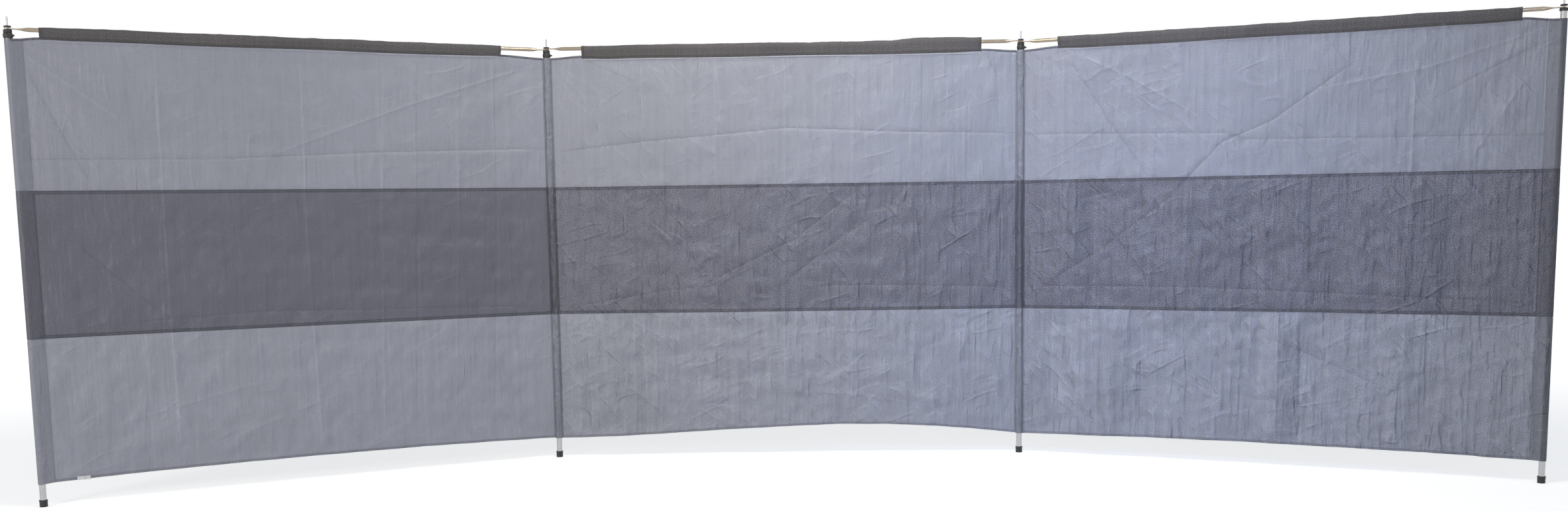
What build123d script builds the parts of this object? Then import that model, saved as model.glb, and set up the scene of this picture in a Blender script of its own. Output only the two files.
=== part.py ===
"""Three-bay beach windbreak: a cloth of three colour bands on four steel uprights, with a steel rail
along the top of each bay. The side bays turn about the two middle uprights.

Lengths are in millimetres. +Z is up, the middle bay lies along X, and the side bays come forward to -Y.
"""
import os
from math import cos, pi, radians, sin

from build123d import *

# Overall layout
BAY_PITCH = 1660.0  # upright axis to upright axis along every bay
LEFT_TURN_DEG = 28.44  # how far the left bay is turned forward
RIGHT_TURN_DEG = 22.97  # how far the right bay is turned forward
BAND_HEIGHT = 450.0  # one colour band of the cloth
GROUND_GAP = 70.0  # ground to the lower hem at the uprights

# Uprights
POLE_DIAMETER = 19.0
POLE_WALL = 1.0

# Foot caps
FOOT_WALL = 2.0
FOOT_HEIGHT = 22.0
FOOT_BASE = 3.0
FOOT_LIP = 0.8  # how far the rim bead stands out
FOOT_LIP_HEIGHT = 4.0
FOOT_EDGE = 1.0  # bevels of the sole and the rim

# Top plugs
PLUG_HEAD_DIAMETER = 24.0
PLUG_HEAD_HEIGHT = 9.0
PLUG_STEM_LENGTH = 26.0
PLUG_EDGE = 1.2  # bevels of the head and the stem
PLUG_FLOOR = 6.0  # plug left under the rail pin

# Rail pins, set in the plugs
PIN_DIAMETER = 6.0  # in the plug, the rail eyes and the cap
SPIKE_DIAMETER = 5.0  # the pin's free end
SPIKE_LENGTH = 32.0  # above the upper rail eye
SPIKE_TIP = 1.0  # bevel of the free end

# Caps on the pins, over the rail eyes
RAIL_CAP_DIAMETER = 20.0
RAIL_CAP_HEIGHT = 5.0
RAIL_CAP_EDGE = 1.0  # bevel of the upper rim

# Guy-line collars below the plugs
COLLAR_HEIGHT = 16.5
COLLAR_WALL = 2.3
COLLAR_BULGE = 1.6  # how far the waist stands out
COLLAR_WAIST_HEIGHT = 6.0
COLLAR_LIFT = 1.0  # above the cloth
NOSE_REACH = 6.5  # nose beyond the waist
NOSE_ROOT_DIAMETER = 10.0
NOSE_TIP_DIAMETER = 3.0

# Rails
RAIL_DIAMETER = 13.0
EYE_THICKNESS = 3.0
EYE_REACH = 20.0  # pin axis to where the flat end starts to open
SWAGE_LENGTH = 36.0  # flat end to full round tube
EYE_SLACK = 0.4  # eye hole round its pin
EYE_PLAY = 0.2  # between stacked eyes and the plug

# Cloth
CLOTH_THICKNESS = 1.5
HEM_THICKNESS = 3.0  # two layers
HEM_HEIGHT = 9.0
END_HEM_WIDTH = 38.0  # folded cloth beside the end uprights
LEFT_HEM_RISE = 7.0  # how far the lower hem arches up
MIDDLE_HEM_RISE = 43.0
RIGHT_HEM_RISE = 17.0
SLEEVE_INSET = 125.0  # upright axis to the end of a rail sleeve
CARE_TAG_WIDTH = 38.0
CARE_TAG_HEIGHT = 12.0
CARE_TAG_THICKNESS = 0.8
CARE_TAG_INSET = 98.0  # upright axis to the tag
CARE_TAG_LIFT = 5.0  # above the lower hem's edge

# Fits
PLASTIC_FIT = 0.15  # radial, plastic on steel
CLOTH_FIT = 0.3  # cloth to what it goes round or lies beside

# Worked out from the sizes above
POLE_RADIUS = POLE_DIAMETER / 2
BORE_RADIUS = POLE_RADIUS - POLE_WALL
PIN_RADIUS = PIN_DIAMETER / 2
SPIKE_RADIUS = SPIKE_DIAMETER / 2
RAIL_RADIUS = RAIL_DIAMETER / 2
BAND_NAMES = ("lower", "centre", "upper")
CLOTH_TOP = GROUND_GAP + len(BAND_NAMES) * BAND_HEIGHT
POCKET_BORE = POLE_RADIUS + CLOTH_FIT
POCKET_RADIUS = POCKET_BORE + CLOTH_THICKNESS
PANEL_START = POCKET_RADIUS + CLOTH_FIT
COLLAR_BOTTOM = CLOTH_TOP + COLLAR_LIFT
POLE_TOP = COLLAR_BOTTOM + COLLAR_HEIGHT + CLOTH_FIT
PLUG_TOP = POLE_TOP + PLUG_HEAD_HEIGHT
PIN_BOTTOM = POLE_TOP - PLUG_STEM_LENGTH + PLUG_FLOOR
SIDE_RAIL_LEVEL = PLUG_TOP + EYE_PLAY + EYE_THICKNESS / 2
MIDDLE_RAIL_LEVEL = SIDE_RAIL_LEVEL + EYE_THICKNESS + EYE_PLAY
CAP_BOTTOM = MIDDLE_RAIL_LEVEL + EYE_THICKNESS / 2
SPIKE_BOTTOM = CAP_BOTTOM + RAIL_CAP_HEIGHT
SPIKE_TOP = CAP_BOTTOM + SPIKE_LENGTH
# A flattened tube keeps its outline's length, so the eye is about half the tube's girth wide.
EYE_WIDTH = pi * (RAIL_DIAMETER - EYE_THICKNESS) / 2 + EYE_THICKNESS
# Half the angle of the round tube that becomes one flat face of the eye.
FLAT_HALF_ANGLE = pi / 2 * (1 - EYE_THICKNESS / RAIL_DIAMETER)
SWAGE_PLACE_SHARES = (0, 0.25, 0.5, 0.75, 1)

# A bay's own frame has its first upright at the origin and its second at +X.
BAY_PLACES = {
    "left": Location((-BAY_PITCH / 2, 0, 0), (0, 0, 180 + LEFT_TURN_DEG)),
    "middle": Location((-BAY_PITCH / 2, 0, 0)),
    "right": Location((BAY_PITCH / 2, 0, 0), (0, 0, -RIGHT_TURN_DEG)),
}
POLE_POINTS = {
    "left": Vector(
        -BAY_PITCH / 2 - BAY_PITCH * cos(radians(LEFT_TURN_DEG)),
        -BAY_PITCH * sin(radians(LEFT_TURN_DEG)),
    ),
    "middle_left": Vector(-BAY_PITCH / 2, 0),
    "middle_right": Vector(BAY_PITCH / 2, 0),
    "right": Vector(
        BAY_PITCH / 2 + BAY_PITCH * cos(radians(RIGHT_TURN_DEG)),
        -BAY_PITCH * sin(radians(RIGHT_TURN_DEG)),
    ),
}
COLLARED_POLES = ("left", "middle_left", "middle_right")
HEM_RISES = {"left": LEFT_HEM_RISE, "middle": MIDDLE_HEM_RISE, "right": RIGHT_HEM_RISE}


def standing_rod(radius, bottom, top):
    """A round bar on the Z axis."""
    return Pos(0, 0, bottom) * extrude(Circle(radius), top - bottom)


def standing_ring(inner, outer, bottom, top):
    """A round wall about the Z axis."""
    wall = Circle(outer) - Circle(inner)
    return Pos(0, 0, bottom) * extrude(wall, top - bottom)


def turned_solid(*points):
    """A solid turned about the Z axis from an outline of radius and height points."""
    outline = make_face(Plane.XZ * Polyline(*points, close=True))
    return revolve(outline, Axis.Z)


def edges_at(solid, radius, height):
    """The round edges of one radius at one height of a turned solid."""
    circles = solid.edges().filter_by(GeomType.CIRCLE)
    near = PLASTIC_FIT / 2
    return [e for e in circles if abs(e.radius - radius) < near and abs(e.center().Z - height) < near]


def upright():
    return standing_ring(BORE_RADIUS, POLE_RADIUS, FOOT_BASE, POLE_TOP)


def foot_cap():
    """A plastic cup under the tube, with a bead round its rim and a bevelled sole."""
    bore = POLE_RADIUS + PLASTIC_FIT
    wall = bore + FOOT_WALL
    rim = wall + FOOT_LIP
    cup = turned_solid(
        (0, 0),
        (wall, 0),
        (wall, FOOT_HEIGHT - FOOT_LIP_HEIGHT),
        (rim, FOOT_HEIGHT - FOOT_LIP_HEIGHT),
        (rim, FOOT_HEIGHT),
        (bore, FOOT_HEIGHT),
        (bore, FOOT_BASE),
        (0, FOOT_BASE),
    )
    return chamfer(edges_at(cup, wall, 0) + edges_at(cup, rim, FOOT_HEIGHT), FOOT_EDGE)


def top_plug():
    """A plastic plug in the tube's end: a head on the rim, a stem inside and a blind hole for the pin."""
    head = PLUG_HEAD_DIAMETER / 2
    stem = BORE_RADIUS - PLASTIC_FIT
    hole = PIN_RADIUS + PLASTIC_FIT
    plug = turned_solid(
        (0, POLE_TOP - PLUG_STEM_LENGTH),
        (stem, POLE_TOP - PLUG_STEM_LENGTH),
        (stem, POLE_TOP),
        (head, POLE_TOP),
        (head, PLUG_TOP),
        (hole, PLUG_TOP),
        (hole, PIN_BOTTOM),
        (0, PIN_BOTTOM),
    )
    head_edges = edges_at(plug, head, PLUG_TOP) + edges_at(plug, head, POLE_TOP)
    stem_edges = edges_at(plug, stem, POLE_TOP - PLUG_STEM_LENGTH)
    return chamfer(head_edges + stem_edges, PLUG_EDGE)


def rail_pin():
    """A steel pin set in the plug, with a thinner free end above the rail eyes and their cap."""
    pin = standing_rod(PIN_RADIUS, PIN_BOTTOM, SPIKE_BOTTOM)
    spike = standing_rod(SPIKE_RADIUS, SPIKE_BOTTOM, SPIKE_TOP)
    return pin + chamfer(edges_at(spike, SPIKE_RADIUS, SPIKE_TOP), SPIKE_TIP)


def rail_cap():
    """A plastic ring on the pin that keeps the rail eyes down."""
    outer = RAIL_CAP_DIAMETER / 2
    ring = standing_ring(PIN_RADIUS + PLASTIC_FIT, outer, CAP_BOTTOM, SPIKE_BOTTOM)
    return chamfer(edges_at(ring, outer, SPIKE_BOTTOM), RAIL_CAP_EDGE)


def guy_collar():
    """A ring on the tube, wider at its waist, with a tapered nose at +X that holds a guy line's loop."""
    bore = POLE_RADIUS + PLASTIC_FIT
    rim = bore + COLLAR_WALL
    waist = rim + COLLAR_BULGE
    middle = COLLAR_BOTTOM + COLLAR_HEIGHT / 2
    top = COLLAR_BOTTOM + COLLAR_HEIGHT
    ring = turned_solid(
        (bore, COLLAR_BOTTOM),
        (rim, COLLAR_BOTTOM),
        (waist, middle - COLLAR_WAIST_HEIGHT / 2),
        (waist, middle + COLLAR_WAIST_HEIGHT / 2),
        (rim, top),
        (bore, top),
    )
    nose = Cone(
        NOSE_ROOT_DIAMETER / 2,
        NOSE_TIP_DIAMETER / 2,
        waist + NOSE_REACH - rim,
        align=(Align.CENTER, Align.CENTER, Align.MIN),
    )
    return ring + Plane(origin=(rim, 0, middle), z_dir=(1, 0, 0)) * nose


def rail_section(place, share):
    """The rail's outline at one place along it: share 0 is pressed flat, 1 is the round tube."""
    flat_x = (EYE_WIDTH - EYE_THICKNESS) / 2
    corner_x = flat_x + share * (RAIL_RADIUS * sin(FLAT_HALF_ANGLE) - flat_x)
    corner_z = EYE_THICKNESS / 2 + share * (RAIL_RADIUS * cos(FLAT_HALF_ANGLE) - EYE_THICKNESS / 2)
    side_x = EYE_WIDTH / 2 + share * (RAIL_RADIUS - EYE_WIDTH / 2)
    top_z = EYE_THICKNESS / 2 + share * (RAIL_RADIUS - EYE_THICKNESS / 2)
    if share:
        upper = ThreePointArc((-corner_x, corner_z), (0, top_z), (corner_x, corner_z))
        lower = ThreePointArc((corner_x, -corner_z), (0, -top_z), (-corner_x, -corner_z))
    else:
        upper = Line((-corner_x, corner_z), (corner_x, corner_z))
        lower = Line((corner_x, -corner_z), (-corner_x, -corner_z))
    near_side = ThreePointArc((corner_x, corner_z), (side_x, 0), (corner_x, -corner_z))
    far_side = ThreePointArc((-corner_x, -corner_z), (-side_x, 0), (-corner_x, corner_z))
    across = Plane(origin=(place, 0, 0), x_dir=(0, 1, 0), z_dir=(1, 0, 0))
    return across * make_face(upper + near_side + lower + far_side)


def rail(level):
    """A steel tube pressed flat at both ends, with an eye in each flat that drops over a rail pin."""
    swage_shares = [place * place * (3 - 2 * place) for place in SWAGE_PLACE_SHARES]
    places = [EYE_REACH + place * SWAGE_LENGTH for place in SWAGE_PLACE_SHARES]
    swage = loft([rail_section(place, share) for place, share in zip(places, swage_shares)])
    tube = extrude(rail_section(places[-1], 1), BAY_PITCH / 2 - places[-1])
    tongue = extrude(rail_section(-EYE_WIDTH / 2, 0), EYE_REACH + EYE_WIDTH / 2)
    plan = Circle(EYE_WIDTH / 2) + Pos(EYE_REACH / 2, 0) * Rectangle(EYE_REACH, EYE_WIDTH)
    tongue = tongue & extrude(plan, EYE_THICKNESS, both=True)
    eye = extrude(Circle(PIN_RADIUS + EYE_SLACK), EYE_THICKNESS, both=True)
    half = tongue + swage + tube - eye
    whole = half + mirror(half, about=Plane.YZ.offset(BAY_PITCH / 2))
    return Pos(0, 0, level) * whole


def rail_sleeve(level):
    """Cloth folded over a rail and sewn down to the cloth's upper edge."""
    bore = RAIL_RADIUS + CLOTH_FIT
    fold = bore + CLOTH_THICKNESS
    skirt = Pos(0, (CLOTH_TOP + level) / 2) * Rectangle(HEM_THICKNESS, level - CLOTH_TOP)
    outline = skirt + Pos(0, level) * Circle(fold) - Pos(0, level) * Circle(bore)
    length = BAY_PITCH - 2 * SLEEVE_INSET
    return Plane.YZ.offset(SLEEVE_INSET) * extrude(outline, length)


def strip(start, end, bottom, top, thickness, rise=0):
    """A flat upright strip of cloth in the bay's plane, whose lower edge may arch up by rise."""
    middle = (start + end) / 2
    sides = Polyline((end, bottom), (end, top), (start, top), (start, bottom))
    if rise:
        edge = ThreePointArc((start, bottom), (middle, bottom + rise), (end, bottom))
    else:
        edge = Line((start, bottom), (end, bottom))
    return extrude(make_face(Plane.XZ * (sides + edge)), thickness / 2, both=True)


def hem(start, end, rise):
    """The folded lower edge of the cloth, which follows the same arch."""
    middle = (start + end) / 2
    lower = ThreePointArc((start, GROUND_GAP), (middle, GROUND_GAP + rise), (end, GROUND_GAP))
    upper = Pos(0, HEM_HEIGHT) * lower
    sides = Line(lower @ 0, upper @ 0) + Line(lower @ 1, upper @ 1)
    return extrude(make_face(Plane.XZ * (lower + upper + sides)), HEM_THICKNESS / 2, both=True)


def band(bay, level):
    """One bay's length of one colour band, folded double beside an end upright."""
    bottom = GROUND_GAP + level * BAND_HEIGHT
    top = bottom + BAND_HEIGHT
    end = BAY_PITCH - PANEL_START
    rise = 0 if level else HEM_RISES[bay]
    cloth = strip(PANEL_START, end, bottom, top, CLOTH_THICKNESS, rise)
    if rise:
        cloth += hem(PANEL_START, end, rise)
    if bay != "middle":
        cloth += strip(BAY_PITCH - END_HEM_WIDTH, end, bottom + rise, top, HEM_THICKNESS)
    return cloth


def pocket(level):
    """One band's tunnel round an upright."""
    bottom = GROUND_GAP + level * BAND_HEIGHT
    return standing_ring(POCKET_BORE, POCKET_RADIUS, bottom, bottom + BAND_HEIGHT)


def care_tag():
    """A blank sewn-in tag on the front of the left bay's lower hem."""
    start = BAY_PITCH - CARE_TAG_INSET - CARE_TAG_WIDTH
    bottom = GROUND_GAP + CARE_TAG_LIFT
    tag = strip(start, start + CARE_TAG_WIDTH, bottom, bottom + CARE_TAG_HEIGHT, CARE_TAG_THICKNESS)
    return Pos(0, (HEM_THICKNESS + CARE_TAG_THICKNESS) / 2, 0) * tag


def windbreak():
    """Every piece by name, in the frame of the middle bay."""
    pieces = {}
    for name, point in POLE_POINTS.items():
        stand = Location(point)
        pieces[name + "_upright"] = stand * upright()
        pieces[name + "_foot_cap"] = stand * foot_cap()
        pieces[name + "_top_plug"] = stand * top_plug()
        pieces[name + "_rail_pin"] = stand * rail_pin()
        pieces[name + "_rail_cap"] = stand * rail_cap()
        if name in COLLARED_POLES:
            pieces[name + "_guy_collar"] = stand * guy_collar()
        for level, band_name in enumerate(BAND_NAMES):
            pieces[f"{name}_{band_name}_pocket"] = stand * pocket(level)
    for bay, place in BAY_PLACES.items():
        rail_level = MIDDLE_RAIL_LEVEL if bay == "middle" else SIDE_RAIL_LEVEL
        pieces[bay + "_rail"] = place * rail(rail_level)
        pieces[bay + "_rail_sleeve"] = place * rail_sleeve(rail_level)
        for level, band_name in enumerate(BAND_NAMES):
            pieces[f"{bay}_{band_name}_band"] = place * band(bay, level)
    pieces["left_care_tag"] = BAY_PLACES["left"] * care_tag()
    return pieces


def main():
    """Writes every piece, moved so that the origin is on the ground below the middle of the whole."""
    pieces = windbreak()
    box = Compound(list(pieces.values())).bounding_box()
    shift = Vector(-box.center().X, -box.center().Y, -box.min.Z)
    os.makedirs("parts", exist_ok=True)
    for name, piece in pieces.items():
        export_step(Pos(shift) * piece, f"parts/{name}.step")
    print(f"{len(pieces)} pieces, box {box.size.X:.3f} x {box.size.Y:.3f} x {box.size.Z:.3f}")
    for name, point in POLE_POINTS.items():
        place = point + shift
        print(f"{name} upright at {place.X:.4f}, {place.Y:.4f}")
    print(f"plug top {PLUG_TOP:.3f}, rails {SIDE_RAIL_LEVEL:.3f} and {MIDDLE_RAIL_LEVEL:.3f}")
    print(f"spikes {SPIKE_BOTTOM:.3f} to {SPIKE_TOP:.3f}")


main()
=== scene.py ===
"""Finishes a three-bay beach windbreak: cloth, sleeves, stitching, steel and plastic, and a plain studio.

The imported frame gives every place. Lengths are in metres, +Z is up and the front of the screen faces -Y.
A bay is measured as it is seen from the front: u runs from its left upright to its right one.
"""
import math

import bmesh
import bpy
import numpy as np
from bpy.props import FloatProperty, FloatVectorProperty, PointerProperty
from mathutils import Matrix, Vector


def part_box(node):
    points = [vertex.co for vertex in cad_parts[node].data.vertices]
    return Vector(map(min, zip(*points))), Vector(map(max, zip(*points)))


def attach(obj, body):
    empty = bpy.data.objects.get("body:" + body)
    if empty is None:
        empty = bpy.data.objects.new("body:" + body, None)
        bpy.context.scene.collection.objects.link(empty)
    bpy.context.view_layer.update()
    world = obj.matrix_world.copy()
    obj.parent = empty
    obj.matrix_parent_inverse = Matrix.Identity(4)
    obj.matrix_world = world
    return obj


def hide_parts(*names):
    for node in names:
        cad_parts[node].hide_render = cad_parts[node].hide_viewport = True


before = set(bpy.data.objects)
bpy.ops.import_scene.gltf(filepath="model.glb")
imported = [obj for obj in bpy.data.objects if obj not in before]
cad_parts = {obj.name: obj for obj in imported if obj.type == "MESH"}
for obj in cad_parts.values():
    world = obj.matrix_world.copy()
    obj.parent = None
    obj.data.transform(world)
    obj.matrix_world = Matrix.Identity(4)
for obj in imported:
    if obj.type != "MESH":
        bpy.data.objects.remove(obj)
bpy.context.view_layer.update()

bl_info = {
    "name": "Beach Windbreak",
    "version": (1, 0, 0),
    "blender": (4, 5, 0),
    "location": "3D View > Sidebar > Windbreak",
    "description": "Builds the cloth, stitching and finishes of a three-bay beach windbreak",
    "category": "Add Mesh",
}

UP = Vector((0, 0, 1))
POLES = ("left", "middle_left", "middle_right", "right")
END_POLES = ("left", "right")
BANDS = ("lower", "centre", "upper")
BAND_SLOTS = {"lower": "light_cloth", "centre": "dark_cloth", "upper": "light_cloth"}


def pole_axis(pole):
    """Where an upright's axis meets the ground."""
    low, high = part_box(f"{pole}_upright")
    return Vector(((low.x + high.x) / 2, (low.y + high.y) / 2, 0))


POLE_RADIUS = (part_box("left_upright")[1].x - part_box("left_upright")[0].x) / 2
CLOTH_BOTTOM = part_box("middle_left_lower_pocket")[0].z
CLOTH_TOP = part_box("middle_left_upper_pocket")[1].z
CLOTH_HEIGHT = CLOTH_TOP - CLOTH_BOTTOM
BAND_HEIGHT = CLOTH_HEIGHT / len(BANDS)
RAIL_RADIUS = (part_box("middle_rail")[1].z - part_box("middle_rail")[0].z) / 2
TAG_LOW, TAG_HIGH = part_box("left_care_tag")

# Fold lines of each bay. A line's points are shares of the bay's length and of the cloth's height. Then comes
# the fold's depth, positive to the front.
FOLD_LINE_SHARES = {
    "left": [
        ([(0.025, 0.737), (0.353, 0.740), (0.628, 0.756), (0.985, 0.768)], -0.0032),
        ([(0.160, 0.361), (0.409, 0.373), (0.946, 0.357)], -0.0022),
        ([(0.240, 0.960), (0.238, 0.500), (0.243, 0.050)], 0.0020),
        ([(0.500, 0.970), (0.497, 0.560), (0.505, 0.040)], 0.0022),
        ([(0.660, 0.970), (0.645, 0.600), (0.630, 0.060)], 0.0020),
        ([(0.726, 0.970), (0.715, 0.560), (0.696, 0.080)], -0.0018),
        ([(0.810, 0.960), (0.800, 0.600), (0.780, 0.120)], 0.0018),
        ([(0.886, 0.960), (0.880, 0.560), (0.860, 0.080)], -0.0018),
        ([(0.450, 0.755), (0.700, 0.870), (0.964, 0.978)], 0.0026),
        ([(0.101, 0.528), (0.165, 0.450), (0.235, 0.368)], -0.0024),
        ([(0.136, 0.126), (0.402, 0.204)], 0.0020),
        ([(0.322, 0.066), (0.553, 0.166)], 0.0020),
        ([(0.030, 0.960), (0.160, 0.840)], 0.0026),
        ([(0.030, 0.920), (0.110, 0.700)], -0.0024),
    ],
    "middle": [
        ([(0.030, 0.761), (0.207, 0.783), (0.363, 0.797), (0.504, 0.812), (0.750, 0.797),
          (0.987, 0.790)], -0.0034),
        ([(0.200, 0.960), (0.195, 0.600), (0.186, 0.080)], 0.0022),
        ([(0.359, 0.960), (0.366, 0.870), (0.352, 0.760), (0.360, 0.600), (0.345, 0.120)], 0.0026),
        ([(0.503, 0.970), (0.500, 0.600), (0.493, 0.060)], 0.0024),
        ([(0.646, 0.970), (0.643, 0.560), (0.639, 0.060)], 0.0024),
        ([(0.792, 0.960), (0.790, 0.560), (0.786, 0.080)], -0.0022),
        ([(0.321, 0.405), (0.522, 0.524), (0.665, 0.659)], -0.0038),
        ([(0.492, 0.402), (0.590, 0.500), (0.678, 0.573)], -0.0034),
        ([(0.238, 0.555), (0.329, 0.440)], -0.0032),
        ([(0.707, 0.624), (0.784, 0.597)], 0.0026),
        ([(0.019, 0.348), (0.249, 0.394), (0.350, 0.404)], -0.0030),
        ([(0.563, 0.401), (0.780, 0.398), (0.989, 0.390)], -0.0032),
        ([(0.503, 0.119), (0.640, 0.112), (0.790, 0.080)], 0.0024),
        ([(0.316, 0.122), (0.461, 0.164)], 0.0022),
        ([(0.085, 0.992), (0.176, 0.942)], -0.0022),
        ([(0.030, 0.877), (0.050, 0.987)], 0.0022),
        ([(0.576, 0.934), (0.667, 0.995)], 0.0022),
        ([(0.931, 0.986), (0.949, 0.943)], -0.0020),
    ],
    "right": [
        ([(0.053, 0.394), (0.172, 0.489), (0.305, 0.613), (0.407, 0.748), (0.506, 0.800),
          (0.648, 0.924)], -0.0042),
        ([(0.099, 0.994), (0.222, 0.920), (0.354, 0.823)], 0.0030),
        ([(0.113, 0.952), (0.180, 0.820), (0.251, 0.697)], -0.0028),
        ([(0.009, 0.786), (0.419, 0.772), (0.445, 0.755), (0.968, 0.744)], -0.0032),
        ([(0.010, 0.392), (0.361, 0.393), (0.685, 0.378), (0.948, 0.366)], -0.0034),
        ([(0.491, 0.277), (0.738, 0.149)], -0.0026),
        ([(0.760, 0.960), (0.757, 0.620), (0.752, 0.400), (0.760, 0.060)], 0.0030),
        ([(0.240, 0.960), (0.245, 0.640), (0.242, 0.420)], 0.0018),
        ([(0.500, 0.720), (0.497, 0.420)], 0.0024),
        ([(0.960, 0.975), (0.780, 0.905), (0.600, 0.870)], 0.0030),
        ([(0.955, 0.940), (0.800, 0.840)], -0.0026),
        ([(0.950, 0.880), (0.860, 0.700)], 0.0022),
    ],
}
# Upright pleats as shares of a bay's length, between two shares of its height, and the depth of their facets.
PLEAT_SHARES = {
    "left": [((0.240, 0.500, 0.645, 0.715, 0.800, 0.880), (0.02, 0.98), 0.0026)],
    "middle": [
        ((0.195, 0.355, 0.500, 0.643, 0.790), (0.02, 0.64), 0.0040),
        ((0.195, 0.355, 0.500, 0.643, 0.790), (0.70, 0.98), 0.0012),
    ],
    "right": [
        ((0.115, 0.157, 0.205, 0.285, 0.340, 0.472, 0.497, 0.565, 0.620, 0.680, 0.757, 0.832, 0.900),
         (0.36, 0.64), 0.0110),
        ((0.070, 0.140, 0.200, 0.256, 0.284, 0.403, 0.455, 0.490, 0.525, 0.568, 0.630, 0.743, 0.800, 0.867),
         (0.02, 0.31), 0.0130),
        ((0.090, 0.245, 0.420, 0.560, 0.757, 0.880), (0.70, 0.96), 0.0060),
    ],
}
PLEAT_FADE_SHARE = 0.03
FOLD_WIDTHS = (0.010, 0.005)  # of a fold's two sides, left and right of its line
FOLD_DEPTH_SHARE = 0.85
FULL_MARK_DEPTH = 0.003  # depth of a fully marked fold line, paler on ridges and darker in valleys: worn tone and painted shade
PLEAT_MARK = 0.5  # paler mark of a pleat's edge against that, partly worn tone, partly painted highlight
FOLD_END_FADE = 0.09  # a fold line rises to its full depth over this length
FOOT_SHARE, FOOT_SPREAD = 0.35, 1.6  # how much of a fold's depth is its soft foot, and how wide that is
# Small random creases of each bay: how many, their mean direction and its spread, and the largest depth.
LOOSE_FOLDS = {
    "left": (160, 1.45, 0.35, 0.0050),
    "middle": (340, 0.95, 0.55, 0.0050),
    "right": (380, 1.50, 0.25, 0.0050),
}
LOOSE_FOLD_PLACE_SHARES, LOOSE_FOLD_DEPTH_SHARES = (0.03, 0.97), (0.2, 1)
LOOSE_FOLD_LENGTH, LOOSE_FOLD_WIDTH = (0.03, 0.17), (0.006, 0.012)
LOOSE_FOLD_BEND_SHARE = 0.3
LOOSE_FOLD_REACH = 4  # widths of a crease past which it is left out
RIPPLES = ((0.42, 0.0018), (0.13, 0.0019), (0.06, 0.0009))  # length and height of the cloth's soft waves
RIPPLE_LENGTH_SHARES = (0.65, 1.5)
RIPPLE_SEED, WRINKLE_SEED, CORNER_SEED, PLEAT_SEED = 1, 3, 7, 9  # added to a bay's own seed
RIPPLE_SHARES = {"left": 0.8, "middle": 1.0, "right": 1.1}
CALM_SHARE, CALM_HEIGHT_SHARES = 0.65, (0.55, 0.75)  # how much lower the waves are high on the cloth
# How strongly the lower, centre and upper band of each bay are creased.
CRUMPLE_SHARES = {"left": (0.40, 0.35, 0.35), "middle": (0.9, 1.0, 0.45), "right": (1.2, 1.2, 0.6)}
BILLOW = {"left": -0.012, "middle": 0.014, "right": -0.010}  # how far a bay's cloth bellies to the front
BELLY_SHARES = (0.55, 0.9)  # of that at the hem, and more with the height
HEM_RISE = {"left": 0.013, "middle": 0.040, "right": 0.009}  # of the lower hem between the uprights
# Over 1 moves the hem's rise to the right; in the left bay, under 1 makes it fuller.
HEM_RISE_POWER = {"left": 0.55, "middle": 1.55, "right": 0.9}
TOP_RISE, TOP_RISE_START = 0.007, 0.01  # the cloth's upper edge is higher at the sleeves than at the uprights
# Upright's axis to the end of each bay's rail sleeve, on the left and on the right.
SLEEVE_INSETS = {"left": (0.082, 0.164), "middle": (0.124, 0.137), "right": (0.131, 0.110)}
CORNER_DROP = 0.004  # the upper corner at the right-hand upright has slipped down by this
CORNER_DROP_LENGTH = 0.13
POLE_FADE = (0.016, 0.11)  # folds rise from nothing to full between these distances from an upright
TOP_FADE = (0.004, 0.06)  # and between these from the upper edge
SHARP_ANGLE = math.radians(50)
TILT_SHADE_SHARE = 2.4  # painted shade: tone of a pleat facet changed with its tilt as the lamps would shade it, against a fold line's mark
# Painted light: how much paler, or below 0 darker, each bay's lower, centre and upper band and the end
# pockets are.
BAND_LIGHT_MARKS = {"left": (0.4, -0.4, 0.0), "middle": (0.1, 0.65, 0.0), "right": (-0.3, 0.45, -0.3)}
POCKET_LIGHT_MARKS = {"left": 0.9, "right": -0.5}
POCKET_EDGE_SHADE = -3.0  # painted shade of the right end pocket, where it turns round the upright away from the light
CORNER_FOLD_DEPTH = {"left": 0.0030, "middle": 0.0014, "right": 0.0032}
CORNER_FOLD_REACH, CORNER_REACH_SHARES = 0.30, (0.6, 1.1)
CORNER_FANS, CORNER_DEPTH_SHARES = (9, 13), (0.5, 1)


def smooth_step(x, low, high):
    """0 below low, 1 above high and a smooth rise between."""
    t = np.clip((x - low) / (high - low), 0, 1)
    return t * t * (3 - 2 * t)


def ripples(u, z, wavelength, seed, count=18):
    """A smooth random relief with a spread of about 1 and waves of about the given length."""
    random = np.random.default_rng(seed)
    total = np.zeros(np.shape(u))
    for _ in range(count):
        angle, phase = random.uniform(0, 2 * math.pi, 2)
        length = wavelength * random.uniform(*RIPPLE_LENGTH_SHARES)
        total += np.sin(2 * math.pi * (u * math.cos(angle) + z * math.sin(angle)) / length + phase)
    return total * math.sqrt(2 / count)


def fold_line(u, z, points, depth, left_width, right_width, end_fade=FOLD_END_FADE):
    """The relief of one crease: a sharp ridge along its points with straight sides and a soft foot."""
    nearest, side, along = np.full(np.shape(u), np.inf), np.zeros(np.shape(u)), np.zeros(np.shape(u))
    run = 0
    for (u0, z0), (u1, z1) in zip(points, points[1:]):
        du, dz = u1 - u0, z1 - z0
        length = math.hypot(du, dz)
        share = np.clip(((u - u0) * du + (z - z0) * dz) / length**2, 0, 1)
        away = np.hypot(u - u0 - share * du, z - z0 - share * dz)
        closer = away < nearest
        nearest = np.where(closer, away, nearest)
        side = np.where(closer, du * (z - z0) - dz * (u - u0), side)
        along = np.where(closer, run + share * length, along)
        run += length
    width = np.where(side > 0, left_width, right_width)
    ends = np.clip(np.minimum(along, run - along) / min(end_fade, run / 2), 0, 1)
    ridge = np.clip(1 - nearest / width, 0, 1)
    foot = np.exp(-nearest / (FOOT_SPREAD * width))
    return depth * ends * ((1 - FOOT_SHARE) * ridge + FOOT_SHARE * foot)


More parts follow.
